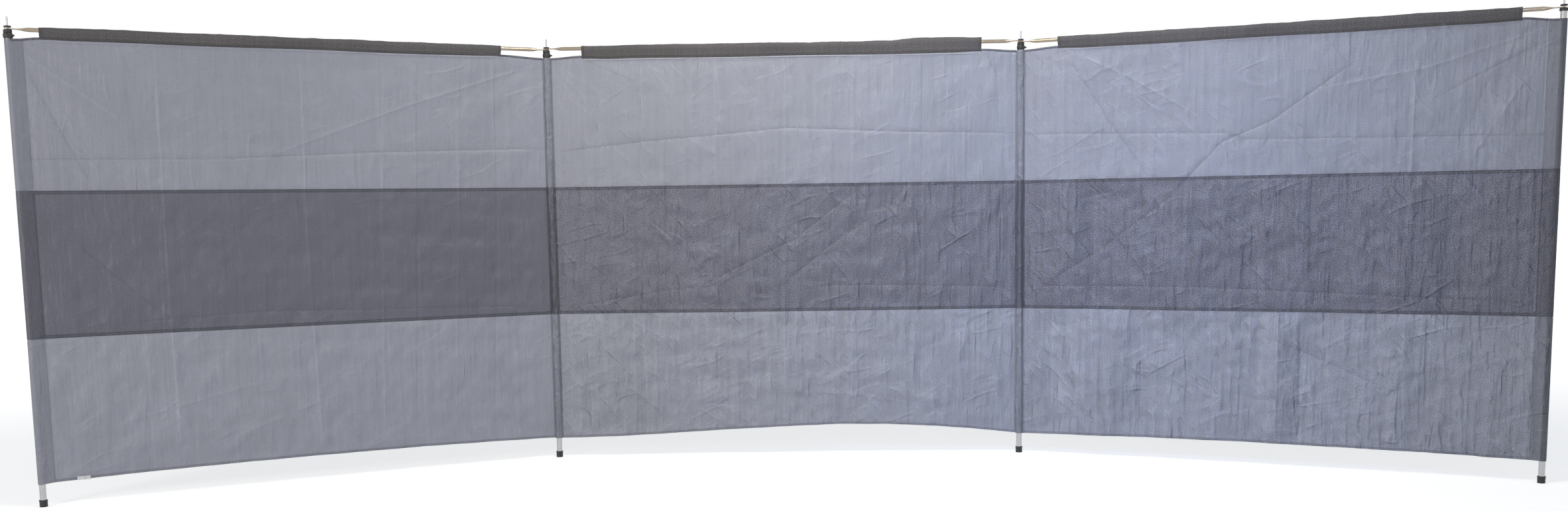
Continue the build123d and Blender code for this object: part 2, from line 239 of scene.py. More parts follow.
class Bay:
    """One bay as it is seen from the front, with the shape of its cloth."""

    def __init__(self, name, left_pole, right_pole, seed):
        self.name, self.body = name, f"{name}_bay"
        self.left_pole, self.right_pole = left_pole, right_pole
        self.start, end = pole_axis(left_pole), pole_axis(right_pole)
        self.length = (end - self.start).length
        self.along = (end - self.start).normalized()
        self.front = self.along.cross(UP)
        self.seed = seed
        low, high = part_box(f"{name}_rail")
        self.rail_level = (low.z + high.z) / 2

    def points(self, u, z, out):
        """Places in the frame for distances along the bay, heights and distances to the front."""
        flat = np.outer(u, self.along) + np.outer(out, self.front) + np.array(self.start)
        return flat + np.outer(z, UP)

    def at_uprights(self, shared, end):
        """A size at the left and right upright: one for the middle uprights and one for the screen's ends."""
        return [end if pole in END_POLES else shared for pole in (self.left_pole, self.right_pole)]

    def line(self, shares):
        return [(u * self.length, CLOTH_BOTTOM + v * CLOTH_HEIGHT) for u, v in shares]

    def hem_line(self, u):
        """Height of the lower hem's edge."""
        share = np.clip(u / self.length, 0, 1)
        power = HEM_RISE_POWER[self.name]
        if self.name == "left":
            return CLOTH_BOTTOM + HEM_RISE["left"] * np.sin(math.pi * share) ** power
        return CLOTH_BOTTOM + HEM_RISE[self.name] * np.sin(math.pi * share**power)

    def past_sleeve_ends(self, u):
        """Distance into the rail sleeve from its nearer end, and less than 0 beyond the ends."""
        left, right = SLEEVE_INSETS[self.name]
        return np.minimum(u - left, self.length - right - u)

    def top_line(self, u):
        """Height of the cloth's upper edge."""
        left, right = SLEEVE_INSETS[self.name]
        rise = smooth_step(u, TOP_RISE_START, left)
        rise = rise * smooth_step(self.length - u, TOP_RISE_START, right)
        level = CLOTH_TOP + TOP_RISE * rise
        if self.name == "right":
            level = level - CORNER_DROP * (1 - smooth_step(self.length - u, 0, CORNER_DROP_LENGTH))
        return level

    def corner_folds(self, u, z):
        """Soft folds that fan out from the four corners of the bay's cloth."""
        random = np.random.default_rng(self.seed + CORNER_SEED)
        total = np.zeros(np.shape(u))
        for corner_u in (0, self.length):
            for corner_z in (CLOTH_BOTTOM, CLOTH_TOP):
                away = np.hypot(u - corner_u, z - corner_z)
                angle = np.arctan2(np.abs(z - corner_z), np.abs(u - corner_u) + 1e-9)
                fan = np.sin(angle * random.uniform(*CORNER_FANS) + random.uniform(0, 2 * math.pi))
                reach = CORNER_FOLD_REACH * random.uniform(*CORNER_REACH_SHARES)
                swell = fan * (away / reach) * np.exp(1 - away / reach)
                total += swell * random.uniform(*CORNER_DEPTH_SHARES)
        return CORNER_FOLD_DEPTH[self.name] * total

    def loose_folds(self, u, z):
        """Small random creases, about half of them along the main fold lines."""
        random = np.random.default_rng(self.seed)
        total = np.zeros(np.shape(u))
        count, mean_angle, spread, deepest = LOOSE_FOLDS[self.name]
        lines = [self.line(shares) for shares, _ in FOLD_LINE_SHARES[self.name]]
        for index in range(count):
            mid_u = random.uniform(*LOOSE_FOLD_PLACE_SHARES) * self.length
            mid_z = CLOTH_BOTTOM + random.uniform(0, 1) * CLOTH_HEIGHT
            line = lines[random.integers(len(lines))]
            first, share = random.integers(len(line) - 1), random.uniform(0, 1)
            if index % 2:
                mid_u, mid_z = (a + share * (b - a) for a, b in zip(line[first], line[first + 1]))
            angle = random.normal(mean_angle, spread)
            half = random.uniform(*LOOSE_FOLD_LENGTH) / 2
            bend = random.uniform(-LOOSE_FOLD_BEND_SHARE, LOOSE_FOLD_BEND_SHARE) * half
            du, dz = half * math.cos(angle), half * math.sin(angle)
            bent = (mid_u - bend * math.sin(angle), mid_z + bend * math.cos(angle))
            path = [(mid_u - du, mid_z - dz), bent, (mid_u + du, mid_z + dz)]
            band = min(int((mid_z - CLOTH_BOTTOM) / BAND_HEIGHT), len(BANDS) - 1)
            depth = random.uniform(*LOOSE_FOLD_DEPTH_SHARES) * deepest * random.choice((-1, 1))
            depth *= CRUMPLE_SHARES[self.name][band]
            left_width, right_width = random.uniform(*LOOSE_FOLD_WIDTH, 2)
            reach = half + LOOSE_FOLD_REACH * max(left_width, right_width)
            near = (np.abs(u - mid_u) < reach) & (np.abs(z - mid_z) < reach)
            total[near] += fold_line(u[near], z[near], path, depth, left_width, right_width, half)
        return total

    def pleats(self, u, height):
        """Flat facets between upright fold lines, each tilted a little: their relief and their tilt."""
        random = np.random.default_rng(self.seed + PLEAT_SEED)
        relief, tilt = np.zeros(np.shape(u)), np.zeros(np.shape(u))
        for places, (low, high), depth in PLEAT_SHARES[self.name]:
            knots = np.array([0, *places, 1]) * self.length
            peaks = np.array([0, *random.uniform(-1, 1, len(places)), 0]) * depth
            fade = PLEAT_FADE_SHARE
            inside = smooth_step(height, low - fade, low + fade)
            inside *= 1 - smooth_step(height, high - fade, high + fade)
            relief += np.interp(u, knots, peaks) * inside
            facet = np.clip(np.searchsorted(knots, u) - 1, 0, len(places))
            tilt += (np.diff(peaks) / np.diff(knots))[facet] * inside
        return relief, tilt

    def fold_paths(self):
        """Every line along which the cloth is sharply creased, with how pale it is, or below 0 how dark: worn
        tone and painted highlight and shade.
        """
        folds = FOLD_LINE_SHARES[self.name]
        paths = [(self.line(shares), depth / FULL_MARK_DEPTH) for shares, depth in folds]
        for places, (low, high), _ in PLEAT_SHARES[self.name]:
            paths += [(self.line([(place, low), (place, high)]), PLEAT_MARK) for place in places]
        return paths

    def relief(self, u, z):
        """How far the cloth stands to the front of the plane through the two uprights."""
        height = np.clip((z - CLOTH_BOTTOM) / CLOTH_HEIGHT, 0, 1)
        belly = np.sin(math.pi * np.clip(u / self.length, 0, 1))
        belly = belly * (BELLY_SHARES[0] + BELLY_SHARES[1] * height) * (1 - height**3)
        total = BILLOW[self.name] * belly + self.corner_folds(u, z) + self.loose_folds(u, z)
        for index, (length, rise) in enumerate(RIPPLES):
            calm = RIPPLE_SHARES[self.name] * (1 - CALM_SHARE * smooth_step(height, *CALM_HEIGHT_SHARES))
            total += calm * rise * ripples(u, z, length, self.seed + RIPPLE_SEED + index)
        for shares, depth in FOLD_LINE_SHARES[self.name]:
            total += fold_line(u, z, self.line(shares), FOLD_DEPTH_SHARE * depth, *FOLD_WIDTHS)
        total += self.pleats(u, height)[0]
        held = smooth_step(np.minimum(u, self.length - u), *POLE_FADE)
        return total * held * smooth_step(self.top_line(u) - z, *TOP_FADE)


BAYS = {
    "left": Bay("left", "left", "middle_left", 11),
    "middle": Bay("middle", "middle_left", "middle_right", 23),
    "right": Bay("right", "middle_right", "right", 37),
}


def length_setting(name, description, default, low=0.0):
    return FloatProperty(name=name, description=description, default=default, min=low, unit="LENGTH")


def angle_setting(name, description, degrees):
    return FloatProperty(name=name, description=description, default=math.radians(degrees), subtype="ANGLE")


def power_setting(name, description, default):
    return FloatProperty(name=name, description=description, default=default, unit="POWER")


def share_setting(name, description, default):
    return FloatProperty(name=name, description=description, default=default, subtype="FACTOR")


def place_setting(name, description, default):
    return FloatVectorProperty(name=name, description=description, default=default, subtype="TRANSLATION")


def colour_setting(name, description, default):
    return FloatVectorProperty(name=name, description=description, default=default, min=0, max=1,
                               subtype="COLOR")


class ClothSizes(bpy.types.PropertyGroup):
    """Sizes of the sewn cloth."""

    thickness: length_setting("Thickness", "Thickness of one layer of cloth", 0.0006, 0.0002)
    grid: length_setting("Grid", "Spacing of the cloth mesh", 0.0066, 0.004)
    seam_lap: length_setting("Seam lap", "Overlap of two bands at their seam", 0.011)
    hem: length_setting("Lower hem", "Height of the cloth folded up at the lower edge", 0.009)
    end_pocket: length_setting("End pocket", "Upright's axis to the stitching of an end pocket", 0.038)
    end_slack: length_setting("End pocket slack", "Room between an end upright and its pocket", 0.0020)
    pocket_slack: length_setting("Pocket slack", "Room between a middle upright and its pocket", 0.0032)
    panel_start: length_setting("Panel start", "Middle upright's axis to the edge of a panel", 0.0112)
    pocket_margin: length_setting("Pocket margin", "Doubled cloth beside a middle upright", 0.018)
    sleeve_slack: length_setting("Sleeve slack", "Room between a rail and its sleeve", 0.0020)
    binding: length_setting("Upper binding", "Height of the binding on the upper edge", 0.0075)
    lip: length_setting("Upper lip", "Height of the rolled edge below the sleeves", 0.018)
    stitch_edge: length_setting("Stitch edge", "Edge of the cloth to a row of stitches", 0.0020)
    stitch_pitch: length_setting("Stitch pitch", "Distance from stitch to stitch", 0.0065)
    stitch_length: length_setting("Stitch length", "Length of one stitch", 0.0042)
    thread: length_setting("Thread", "Thickness of the sewing thread", 0.0007)


class FinishColours(bpy.types.PropertyGroup):
    """Colours of the finishes."""

    light_cloth: colour_setting("Light cloth", "Upper and lower bands", (0.335, 0.350, 0.425))
    dark_cloth: colour_setting("Dark cloth", "Centre bands and upper binding", (0.157, 0.161, 0.208))
    sleeve_cloth: colour_setting("Sleeve cloth", "Rail sleeves", (0.120, 0.113, 0.119))
    tag_cloth: colour_setting("Tag", "Care tag", (0.74, 0.76, 0.80))
    pole_steel: colour_setting("Upright steel", "Plated tube of the uprights", (0.47, 0.47, 0.48))
    rail_steel: colour_setting("Rail steel", "Plated tube of the rails", (0.36, 0.30, 0.23))
    plastic: colour_setting("Plastic", "Caps, plugs and collars", (0.020, 0.020, 0.021))


class StageSettings(bpy.types.PropertyGroup):
    """Camera and light of the studio."""

    camera_place: place_setting("Camera place", "Where the camera stands", (0.0787, -4.5997, 0.8845))
    yaw: angle_setting("Yaw", "Camera's turn to the right", -1.423)
    pitch: angle_setting("Pitch", "Camera's tilt downwards", 6.584)
    roll: angle_setting("Roll", "Camera's turn about its own axis", -0.842)
    lens: FloatProperty(name="Lens", description="Focal length in millimetres", default=32.158,
                        unit="CAMERA")
    shift: share_setting("Shift", "Upward shift of the frame, as a share of its width", 0.0730)
    room_light: share_setting("Room light", "Strength of the even light", 0.325)
    room_colour: colour_setting("Room colour", "Colour of the even light", (0.86, 0.93, 1.0))
    key_power: power_setting("Key power", "Power of the lamp above the middle bay", 28.5)
    key_place: place_setting("Key place", "Where the key lamp hangs", (0.18, -1.09, 2.60))
    key_target: place_setting("Key target", "What the key lamp points at", (0.26, 0.20, 0.53))
    key_colour: colour_setting("Key colour", "Colour of the key lamp", (1.0, 0.97, 0.87))
    side_power: power_setting("Side power", "Power of the low lamp on the left", 55.0)
    side_place: place_setting("Side place", "Where the side lamp stands", (-3.5, -3.8, 1.25))
    side_target: place_setting("Side target", "What the side lamp points at", (-0.14, 0.2, 0.96))
    side_colour: colour_setting("Side colour", "Colour of the side lamp", (1.0, 0.905, 0.816))
    pool_power: power_setting("Pool power", "Power of the narrow cool lamp on the right", 3.0)
    pool_place: place_setting("Pool place", "Where the narrow lamp hangs", (0.58, -3.91, 2.40))
    pool_target: place_setting("Pool target", "What the narrow lamp points at", (1.15, 0.22, 0.76))
    pool_colour: colour_setting("Pool colour", "Colour of the narrow lamp", (0.33, 0.52, 1.0))
    pool_spread: angle_setting("Pool spread", "Angle of the narrow lamp's beam", 40.0)
    floor_glow: share_setting("Floor glow", "White seen in the floor near the windbreak", 0.60)
    floor_size: length_setting("Floor size", "Half the floor's width", 40.0)


def settings():
    scene = bpy.context.scene
    return scene.windbreak_cloth, scene.windbreak_colours, scene.windbreak_stage


# The white thread paints a highlight: the middle bay's stitches below its sleeve stand for the lit rolled
# edge there.
THREAD_SLOTS = {"light_thread": ("light_cloth", 0.88), "dark_thread": ("dark_cloth", 0.50),
                "white_thread": ("tag_cloth", 1.0)}

# Node helpers


def add_node(tree, kind, sockets=None, **values):
    """Adds a node with its settings, and fills its sockets with values or links."""
    node = tree.nodes.new(kind)
    for name, value in values.items():
        setattr(node, name, value)
    for name, value in (sockets or {}).items():
        if isinstance(value, bpy.types.NodeSocket):
            tree.links.new(value, node.inputs[name])
        else:
            node.inputs[name].default_value = value
    return node


def calculate(tree, operation, *values):
    node = add_node(tree, "ShaderNodeMath", dict(enumerate(values)), operation=operation)
    return node.outputs[0]


def multiply(tree, first, second):
    return calculate(tree, "MULTIPLY", first, second)


def map_range(tree, value, given, wanted=(0.0, 1.0), **values):
    """A value between the given ends, moved between the wanted ones."""
    sockets = {"Value": value, "From Min": given[0], "From Max": given[1], "To Min": wanted[0],
               "To Max": wanted[1]}
    return add_node(tree, "ShaderNodeMapRange", sockets, **values).outputs["Result"]


def stretch_range(tree, value, low, high):
    """A value from 0 to 1 spread between low and high."""
    return map_range(tree, value, (0.0, 1.0), (low, high))


def scale_colour(tree, colour, value):
    node = add_node(tree, "ShaderNodeVectorMath", {0: colour, "Scale": value}, operation="SCALE")
    return node.outputs["Vector"]


def mix_colours(tree, share, first, second):
    node = add_node(tree, "ShaderNodeMix", {0: share, 6: first, 7: second}, data_type="RGBA")
    return node.outputs[2]


def noise(tree, vector, scale, detail, roughness, distortion=0.0):
    sockets = {"Vector": vector, "Scale": scale, "Detail": detail, "Roughness": roughness,
               "Distortion": distortion}
    return add_node(tree, "ShaderNodeTexNoise", sockets).outputs[0]


def stretch_vector(tree, vector, scales):
    node = add_node(tree, "ShaderNodeVectorMath", {0: vector, 1: scales}, operation="MULTIPLY")
    return node.outputs["Vector"]


def shader_group(name, inputs, outputs):
    """A new shader node group with its named sockets, and its two end nodes."""
    tree = bpy.data.node_groups.new(name, "ShaderNodeTree")
    for socket, kind in inputs.items():
        tree.interface.new_socket(name=socket, in_out="INPUT", socket_type=f"NodeSocket{kind}")
    for socket in outputs:
        tree.interface.new_socket(name=socket, in_out="OUTPUT", socket_type="NodeSocketFloat")
    return tree, tree.nodes.new("NodeGroupInput").outputs, tree.nodes.new("NodeGroupOutput").inputs


def build_weave(name):
    """Plain weave: the relief of threads that pass over and under each other, and a tone for each thread."""
    tree, given, result = shader_group(
        name, {"Vector": "Vector", "Threads per metre": "Float"}, ["Relief", "Thread tone"])
    scaled = scale_colour(tree, given["Vector"], given["Threads per metre"])
    across = add_node(tree, "ShaderNodeSeparateXYZ", {0: scaled}).outputs
    lanes, crowns, tones = [], [], []
    for axis in ("X", "Y"):
        turn = multiply(tree, across[axis], math.pi)
        crowns.append(calculate(tree, "ABSOLUTE", calculate(tree, "SINE", turn)))
        lanes.append(calculate(tree, "FLOOR", across[axis]))
        tone = add_node(tree, "ShaderNodeTexWhiteNoise", {"W": lanes[-1]}, noise_dimensions="1D")
        tones.append(tone.outputs["Value"])
    over = calculate(tree, "FLOORED_MODULO", calculate(tree, "ADD", *lanes), 2.0)
    for socket, (warp, weft) in (("Relief", crowns), ("Thread tone", tones)):
        mixed = add_node(tree, "ShaderNodeMix", {0: over, 2: warp, 3: weft}, data_type="FLOAT")
        tree.links.new(mixed.outputs[0], result[socket])
    return tree


# Thin lines of the crinkles: turn of their direction, squeeze along it, and share of the scale.
LINE_SETS = ((0.0, 0.16, 0.40), (-0.75, 0.22, 0.34), (1.25, 0.25, 0.30))
LINE_WIDTH, LINE_PATCH = 0.05, (0.46, 0.62)


def build_crinkle(name):
    """Creases of thin cloth that was folded away: soft dents, upright streaks and broken thin lines."""
    tree, given, result = shader_group(
        name, {"Vector": "Vector", "Crinkles per metre": "Float"}, ["Dents", "Streaks", "Lines", "Tone"])
    place, scale = given["Vector"], given["Crinkles per metre"]
    dented = stretch_vector(tree, place, (1.0, 0.6, 1.0))
    tree.links.new(noise(tree, dented, scale, 3.0, 0.5, 0.4), result["Dents"])
    upright = stretch_vector(tree, place, (1.2, 0.08, 1.0))
    tree.links.new(noise(tree, upright, scale, 2.0, 0.5), result["Streaks"])
    total = 0.0
    for turn, squeeze, share in LINE_SETS:
        turned = add_node(tree, "ShaderNodeVectorRotate", {"Vector": place, "Angle": turn},
                          rotation_type="Z_AXIS").outputs["Vector"]
        along = stretch_vector(tree, turned, (1.0, squeeze, 1.0))
        level = noise(tree, along, multiply(tree, scale, share), 2.0, 0.45)
        away = calculate(tree, "ABSOLUTE", calculate(tree, "SUBTRACT", level, 0.5))
        line = map_range(tree, away, (0.0, LINE_WIDTH), (1.0, 0.0))
        patch = noise(tree, turned, multiply(tree, scale, share * 0.5), 2.0, 0.5)
        total = calculate(tree, "MULTIPLY_ADD", line, map_range(tree, patch, LINE_PATCH), total)
    tree.links.new(total, result["Lines"])
    tree.links.new(noise(tree, place, multiply(tree, scale, 0.07), 4.0, 0.55, 0.3), result["Tone"])
    return tree


def build_scuffs(name):
    """Handling marks on hard surfaces: thin streaks and cloudy patches."""
    tree, given, result = shader_group(
        name, {"Vector": "Vector", "Marks per metre": "Float", "Stretch": "Vector"}, ["Streaks", "Patches"])
    stretched = stretch_vector(tree, given["Vector"], given["Stretch"])
    tree.links.new(noise(tree, stretched, given["Marks per metre"], 5.0, 0.62, 0.15), result["Streaks"])
    slow = multiply(tree, given["Marks per metre"], 0.22)
    tree.links.new(noise(tree, given["Vector"], slow, 3.0, 0.5, 0.6), result["Patches"])
    return tree


def add_group(tree, name, build, **sockets):
    """Places a shared effect in a material with its own values."""
    given = {key.replace("_", " "): value for key, value in sockets.items()}
    group = bpy.data.node_groups.get(name) or build(name)
    return add_node(tree, "ShaderNodeGroup", given, node_tree=group).outputs


def new_material(name):
    """A node material, with its tree and its Principled shader."""
    material = bpy.data.materials.new(name)
    material.use_nodes = True
    return material, material.node_tree, material.node_tree.nodes["Principled BSDF"]


def bump(tree, height, distance, strength, normal=None):
    sockets = {"Height": height, "Distance": distance, "Strength": strength}
    if normal is not None:
        sockets["Normal"] = normal
    return add_node(tree, "ShaderNodeBump", sockets).outputs["Normal"]


DOUBLE_EDGE = 0.0004  # half the width over which cloth turns from single to double
TONE_MARK_SHARE = 0.13  # change of tone per unit of the crease attribute: worn and painted-shade fold lines and other painted light
THREAD_TWISTS, PLASTIC_MARKS, PLASTIC_GRAINS = 1600.0, 420.0, 2600.0  # per metre
PLASTIC_WEAR = 2.6  # how much paler worn plastic is


def attribute(tree, name):
    return add_node(tree, "ShaderNodeAttribute", attribute_name=name).outputs["Fac"]


def cloth_material(name, colour, threads=1100.0, thread_contrast=0.03, weave_depth=0.00012, crinkles=40.0,
                   depths=(0.0080, 0.0096, 0.0028), roughness=(0.32, 0.48), doubled_shade=0.74, mottle=0.10,
                   specks=380.0, speckle=0.70, wear_and_shade=0.10):
    """Woven polyester: weave, crinkles, slow changes of tone, painted shade where double, creases partly worn
    and partly painted light.
    """
    material, tree, shader = new_material(name)
    place = add_node(tree, "ShaderNodeUVMap", uv_map="cloth").outputs["UV"]
    weave = add_group(tree, "Plain weave", build_weave, Vector=place, Threads_per_metre=threads)
    crinkle = add_group(tree, "Cloth crinkle", build_crinkle, Vector=place, Crinkles_per_metre=crinkles)
    crumple = attribute(tree, "crumple")
    tone = multiply(tree, stretch_range(tree, crinkle["Tone"], 1 - mottle, 1 + mottle),
                    stretch_range(tree, weave["Thread tone"], 1 - thread_contrast, 1 + thread_contrast))
    # Painted shade: cloth lying double is darker, for the light that shines through one layer and less
    # through two.
    tone = multiply(tree, tone, map_range(tree, attribute(tree, "inset"), (DOUBLE_EDGE, -DOUBLE_EDGE),
                                          (1.0, doubled_shade)))
    speck = noise(tree, place, specks, 1.0, 0.6)
    grain = multiply(tree, stretch_range(tree, speck, -speckle, speckle), crumple)
    tone = multiply(tree, tone, calculate(tree, "ADD", grain, 1.0))
    # Painted light and shade from the crease attribute: fold lines, facet tilt, bands and end pockets.
    tone = multiply(tree, tone, calculate(tree, "MULTIPLY_ADD", attribute(tree, "crease"), TONE_MARK_SHARE, 1.0))
    # Painted shade and highlight following the crinkles' dents and streaks; on their thin lines partly worn
    # tone, partly painted shade.
    worn = calculate(tree, "ADD", stretch_range(tree, crinkle["Dents"], -wear_and_shade, wear_and_shade),
                     stretch_range(tree, crinkle["Streaks"], -2 * wear_and_shade, 2 * wear_and_shade))
    worn = calculate(tree, "ADD", multiply(tree, crinkle["Lines"], wear_and_shade), worn)
    tone = multiply(tree, tone, calculate(tree, "MULTIPLY_ADD", worn, crumple, 1.0))
    tree.links.new(scale_colour(tree, colour, tone), shader.inputs["Base Color"])
    tree.links.new(stretch_range(tree, crinkle["Dents"], *roughness), shader.inputs["Roughness"])
    relief = multiply(tree, crinkle["Dents"], depths[0])
    for part, depth in zip(("Streaks", "Lines"), depths[1:]):
        relief = calculate(tree, "MULTIPLY_ADD", crinkle[part], depth, relief)
    folds = bump(tree, multiply(tree, relief, crumple), 1.0, 1.0)
    tree.links.new(bump(tree, weave["Relief"], weave_depth, 0.5, folds), shader.inputs["Normal"])
    shader.inputs["Specular IOR Level"].default_value = 0.42
    shader.inputs["Sheen Weight"].default_value = 0.12
    shader.inputs["Sheen Roughness"].default_value = 0.4
    return material


def thread_material(name):
    """Sewing thread: a shade of a cloth's colour, with the twist of its strands."""
    slot, shade = THREAD_SLOTS[name]
    if name in bpy.data.materials:
        return bpy.data.materials[name]
    material, tree, shader = new_material(name)
    place = add_node(tree, "ShaderNodeTexCoord").outputs["Object"]
    twist = noise(tree, place, THREAD_TWISTS, 2.0, 0.5)
    colour = tuple(shade * channel for channel in getattr(settings()[1], slot))
    tone = stretch_range(tree, twist, 0.75, 1.25)
    tree.links.new(scale_colour(tree, colour, tone), shader.inputs["Base Color"])
    tree.links.new(stretch_range(tree, twist, 0.45, 0.70), shader.inputs["Roughness"])
    return material


def steel_material(name, colour, roughness, stretch, marks):
    """Bright plated tube with fine lengthwise streaks."""
    material, tree, shader = new_material(name)
    place = add_node(tree, "ShaderNodeTexCoord").outputs["Object"]
    scuffs = add_group(tree, "Handling marks", build_scuffs, Vector=place, Marks_per_metre=marks,
                       Stretch=stretch)
    tone = multiply(tree, stretch_range(tree, scuffs["Streaks"], 0.86, 1.12),
                    stretch_range(tree, scuffs["Patches"], 0.88, 1.10))
    tree.links.new(scale_colour(tree, colour, tone), shader.inputs["Base Color"])
    tree.links.new(stretch_range(tree, scuffs["Patches"], *roughness), shader.inputs["Roughness"])
    tree.links.new(bump(tree, scuffs["Streaks"], 0.00006, 0.4), shader.inputs["Normal"])
    shader.inputs["Metallic"].default_value = 1.0
    return material


def plastic_material(name, colour):
    """Moulded plastic with a fine grain and pale handling marks."""
    material, tree, shader = new_material(name)
    place = add_node(tree, "ShaderNodeTexCoord").outputs["Object"]
    scuffs = add_group(tree, "Handling marks", build_scuffs, Vector=place, Marks_per_metre=PLASTIC_MARKS,
                       Stretch=(1.0, 1.0, 0.45))
    grain = noise(tree, place, PLASTIC_GRAINS, 2.0, 0.5)
    worn = tuple(min(1.0, channel * PLASTIC_WEAR) for channel in colour)
    share = stretch_range(tree, scuffs["Streaks"], -0.55, 0.85)
    tree.links.new(mix_colours(tree, share, (*colour, 1), (*worn, 1)), shader.inputs["Base Color"])
    tree.links.new(stretch_range(tree, scuffs["Patches"], 0.38, 0.60), shader.inputs["Roughness"])
    tree.links.new(bump(tree, grain, 0.00012, 0.35), shader.inputs["Normal"])
    return material


# How each cloth differs from the light one, and each steel's colour, roughness, stretch and number of marks.
CLOTHS = {
    "light_cloth": {},
    "dark_cloth": {"doubled_shade": 0.70, "mottle": 0.14, "speckle": 1.60},
    "sleeve_cloth": {
        "threads": 420.0, "thread_contrast": 0.15, "weave_depth": 0.0004, "depths": (0.0014, 0.0, 0.0),
        "roughness": (0.55, 0.75), "doubled_shade": 0.72, "mottle": 0.25, "specks": 420.0, "speckle": 1.7,
        "wear_and_shade": 0.0},
    "tag_cloth": {
        "threads": 2600.0, "thread_contrast": 0.05, "weave_depth": 0.00005, "crinkles": 120.0,
        "depths": (0.0004, 0.0, 0.0), "roughness": (0.32, 0.45), "doubled_shade": 0.95, "mottle": 0.03},
}
STEELS = {
    "pole_steel": ("pole_steel", (0.12, 0.30), (1.0, 1.0, 0.03), 260.0),
    "rail_steel": ("rail_steel", (0.10, 0.26), (0.05, 0.05, 1.0), 260.0),
    "pin_steel": ("pole_steel", (0.28, 0.42), (1.0, 1.0, 0.12), 500.0),
}


def finish_material(slot):
    """The material of one of the record's slots, made when it is first asked for."""
    if slot in bpy.data.materials and bpy.data.materials[slot].get("windbreak"):
        return bpy.data.materials[slot]
    colours = settings()[1]
    for old in [m for m in bpy.data.materials if m.name == slot]:
        old.name = f"{slot}_packed"
    if slot in CLOTHS:
        material = cloth_material(slot, tuple(getattr(colours, slot)), **CLOTHS[slot])
    elif slot in STEELS:
        colour, *finish = STEELS[slot]
        material = steel_material(slot, tuple(getattr(colours, colour)), *finish)
    else:
        material = plastic_material(slot, tuple(colours.plastic))
    material["windbreak"] = True
    return material


def finish_node(node, slot):
    """Puts a finish on one of the frame's own pieces."""
    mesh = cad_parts[node].data
    mesh.materials.clear()
    mesh.materials.append(finish_material(slot))


# Mesh helpers


LOOP_GRID = 0.0036  # spacing of the mesh where the cloth turns round an end upright
POCKET_GRID, POCKET_SIDES = 0.0085, 32
SLEEVE_GRID, CROWN_STEPS, SKIRT_STEPS = 0.0105, 5, 2  # rows to a grid step over the rail and below it
BINDING_GRID = 0.010
TAG_COLUMNS, TAG_ROWS = 18, 8
HEM_ROW_SHARES = np.array([-1.0, -0.6, -0.25, -0.08, 0.0])
LAP_ROW_SHARES = np.array([0.0, 0.5, 1.0])
LIP_ROW_SHARES = np.array([0.0, 0.15, 0.3, 0.45, 0.6, 0.8, 1.0])
BINDING_ROW_SHARES = np.array([0.08, 0.2, 0.5, 1.0])
SAME_PLACE = 1e-5
FOLD_CUT_REACH, FOLD_CUT_PARTS, WELD_PARTS = 1.3, 25, 20  # reach in grid steps, and finest parts kept apart
LIP_DEPTH, LIP_DROP, LIP_ENDS = 0.0028, 0.0035, (-0.01, 0.03)
SEAM_STEP, SEAM_RAMP = 0.0011, 0.006  # how far a lapped edge lies behind, and over what height it gets there
HEM_STEP = 0.0013
LOOP_END_STEP = 0.0010  # how far the end of a pocket's cloth lies behind the bay's cloth
POCKET_SEED, POCKET_WAVE, POCKET_DRIFT, POCKET_SWAY = 50, 0.0007, 9, (14, 30)
SLEEVE_LAYERS = 1.5  # thickness of a sleeve's coarse cloth against the bands'
SLEEVE_HEM, SKIRT_GAP = 0.010, 0.0017
SLEEVE_LAP = 0.0068  # cloth of a sleeve's side below the upper edge at the uprights, with its slant
SLEEVE_RAISE = {"left": 0.0045, "middle": 0.0, "right": 0.0}  # one sleeve is sewn on higher than the others
SLEEVE_FLARE = {"left": -0.0008, "middle": 0.0010, "right": 0.0010}  # how much wider a sleeve is at its ends
SLEEVE_FLARE_LENGTH = 0.03
SLEEVE_CLOSE_SHARE = 0.85  # of a sleeve's side, in which it comes in from the rail
SKIRT_DROP, SKIRT_END_DROP, SKIRT_END = 0.003, 0.002, 0.10  # below the cloth's upper edge at the uprights
SKIRT_WAVE, SKIRT_TURNS = 0.001, 11.0
SLEEVE_WAVE, SLEEVE_WAVES = 0.0008, ((0.6, 7.0, 1), (0.4, 17.0, 2))  # share, turns and seed of each wave
SLEEVE_WRINKLES = ((1.4, 0.06, 0.00030), (1.0, 0.16, 0.00045))  # squeeze, length and height
# The middle sleeve stands up near its right end: height, where it rises, where it falls and by what share.
SLEEVE_BULGE, BULGE_RISE, BULGE_FALL, BULGE_FALL_SHARE = 0.0075, (1.20, 1.29), (1.40, 1.52), 0.55
BINDING_CLEAR, BINDING_RISE, BINDING_GAP, BINDING_FOLD_GAP = 0.0150, 0.0010, 0.0008, 0.0003
TAG_SIZE, TAG_GAP, TAG_HEM = (0.038, 0.012), 0.0028, 0.0012
TAG_CURL, TAG_CURL_SHARE, TAG_CURL_TURNS, TAG_CURL_START = 0.0030, 0.5, 4.0, 0.6
TOPSTITCH_DROP = 0.0150  # below the cloth's upper edge
# Length and thickness of the stitches below each bay's sleeve and in the seams, against the others.
TOPSTITCH_SHARES = {"left": (1.0, 1.0), "middle": (1.5, 3.2), "right": (1.0, 1.0)}
SEAM_STITCH_SHARES = (1.35, 1.9)
# The middle bay's white stitches, long and thick, are a painted highlight of the rolled edge below its
# sleeve.
TOPSTITCH_THREADS = {"left": "light_thread", "middle": "white_thread", "right": "light_thread"}
STITCH_LIFT_SHARE = 0.3  # of the thread, by which the middle of a stitch lies clear of the cloth


def spaced(start, end, step):
    return np.linspace(start, end, max(2, math.ceil(abs(end - start) / step) + 1))


def joined(*runs):
    """Runs of positions as one rising list, with near repeats left out."""
    places = np.unique(np.concatenate([np.atleast_1d(run) for run in runs]))
    return places[np.concatenate([[True], np.diff(places) > SAME_PLACE])]


def by_index(item):
    return item.index


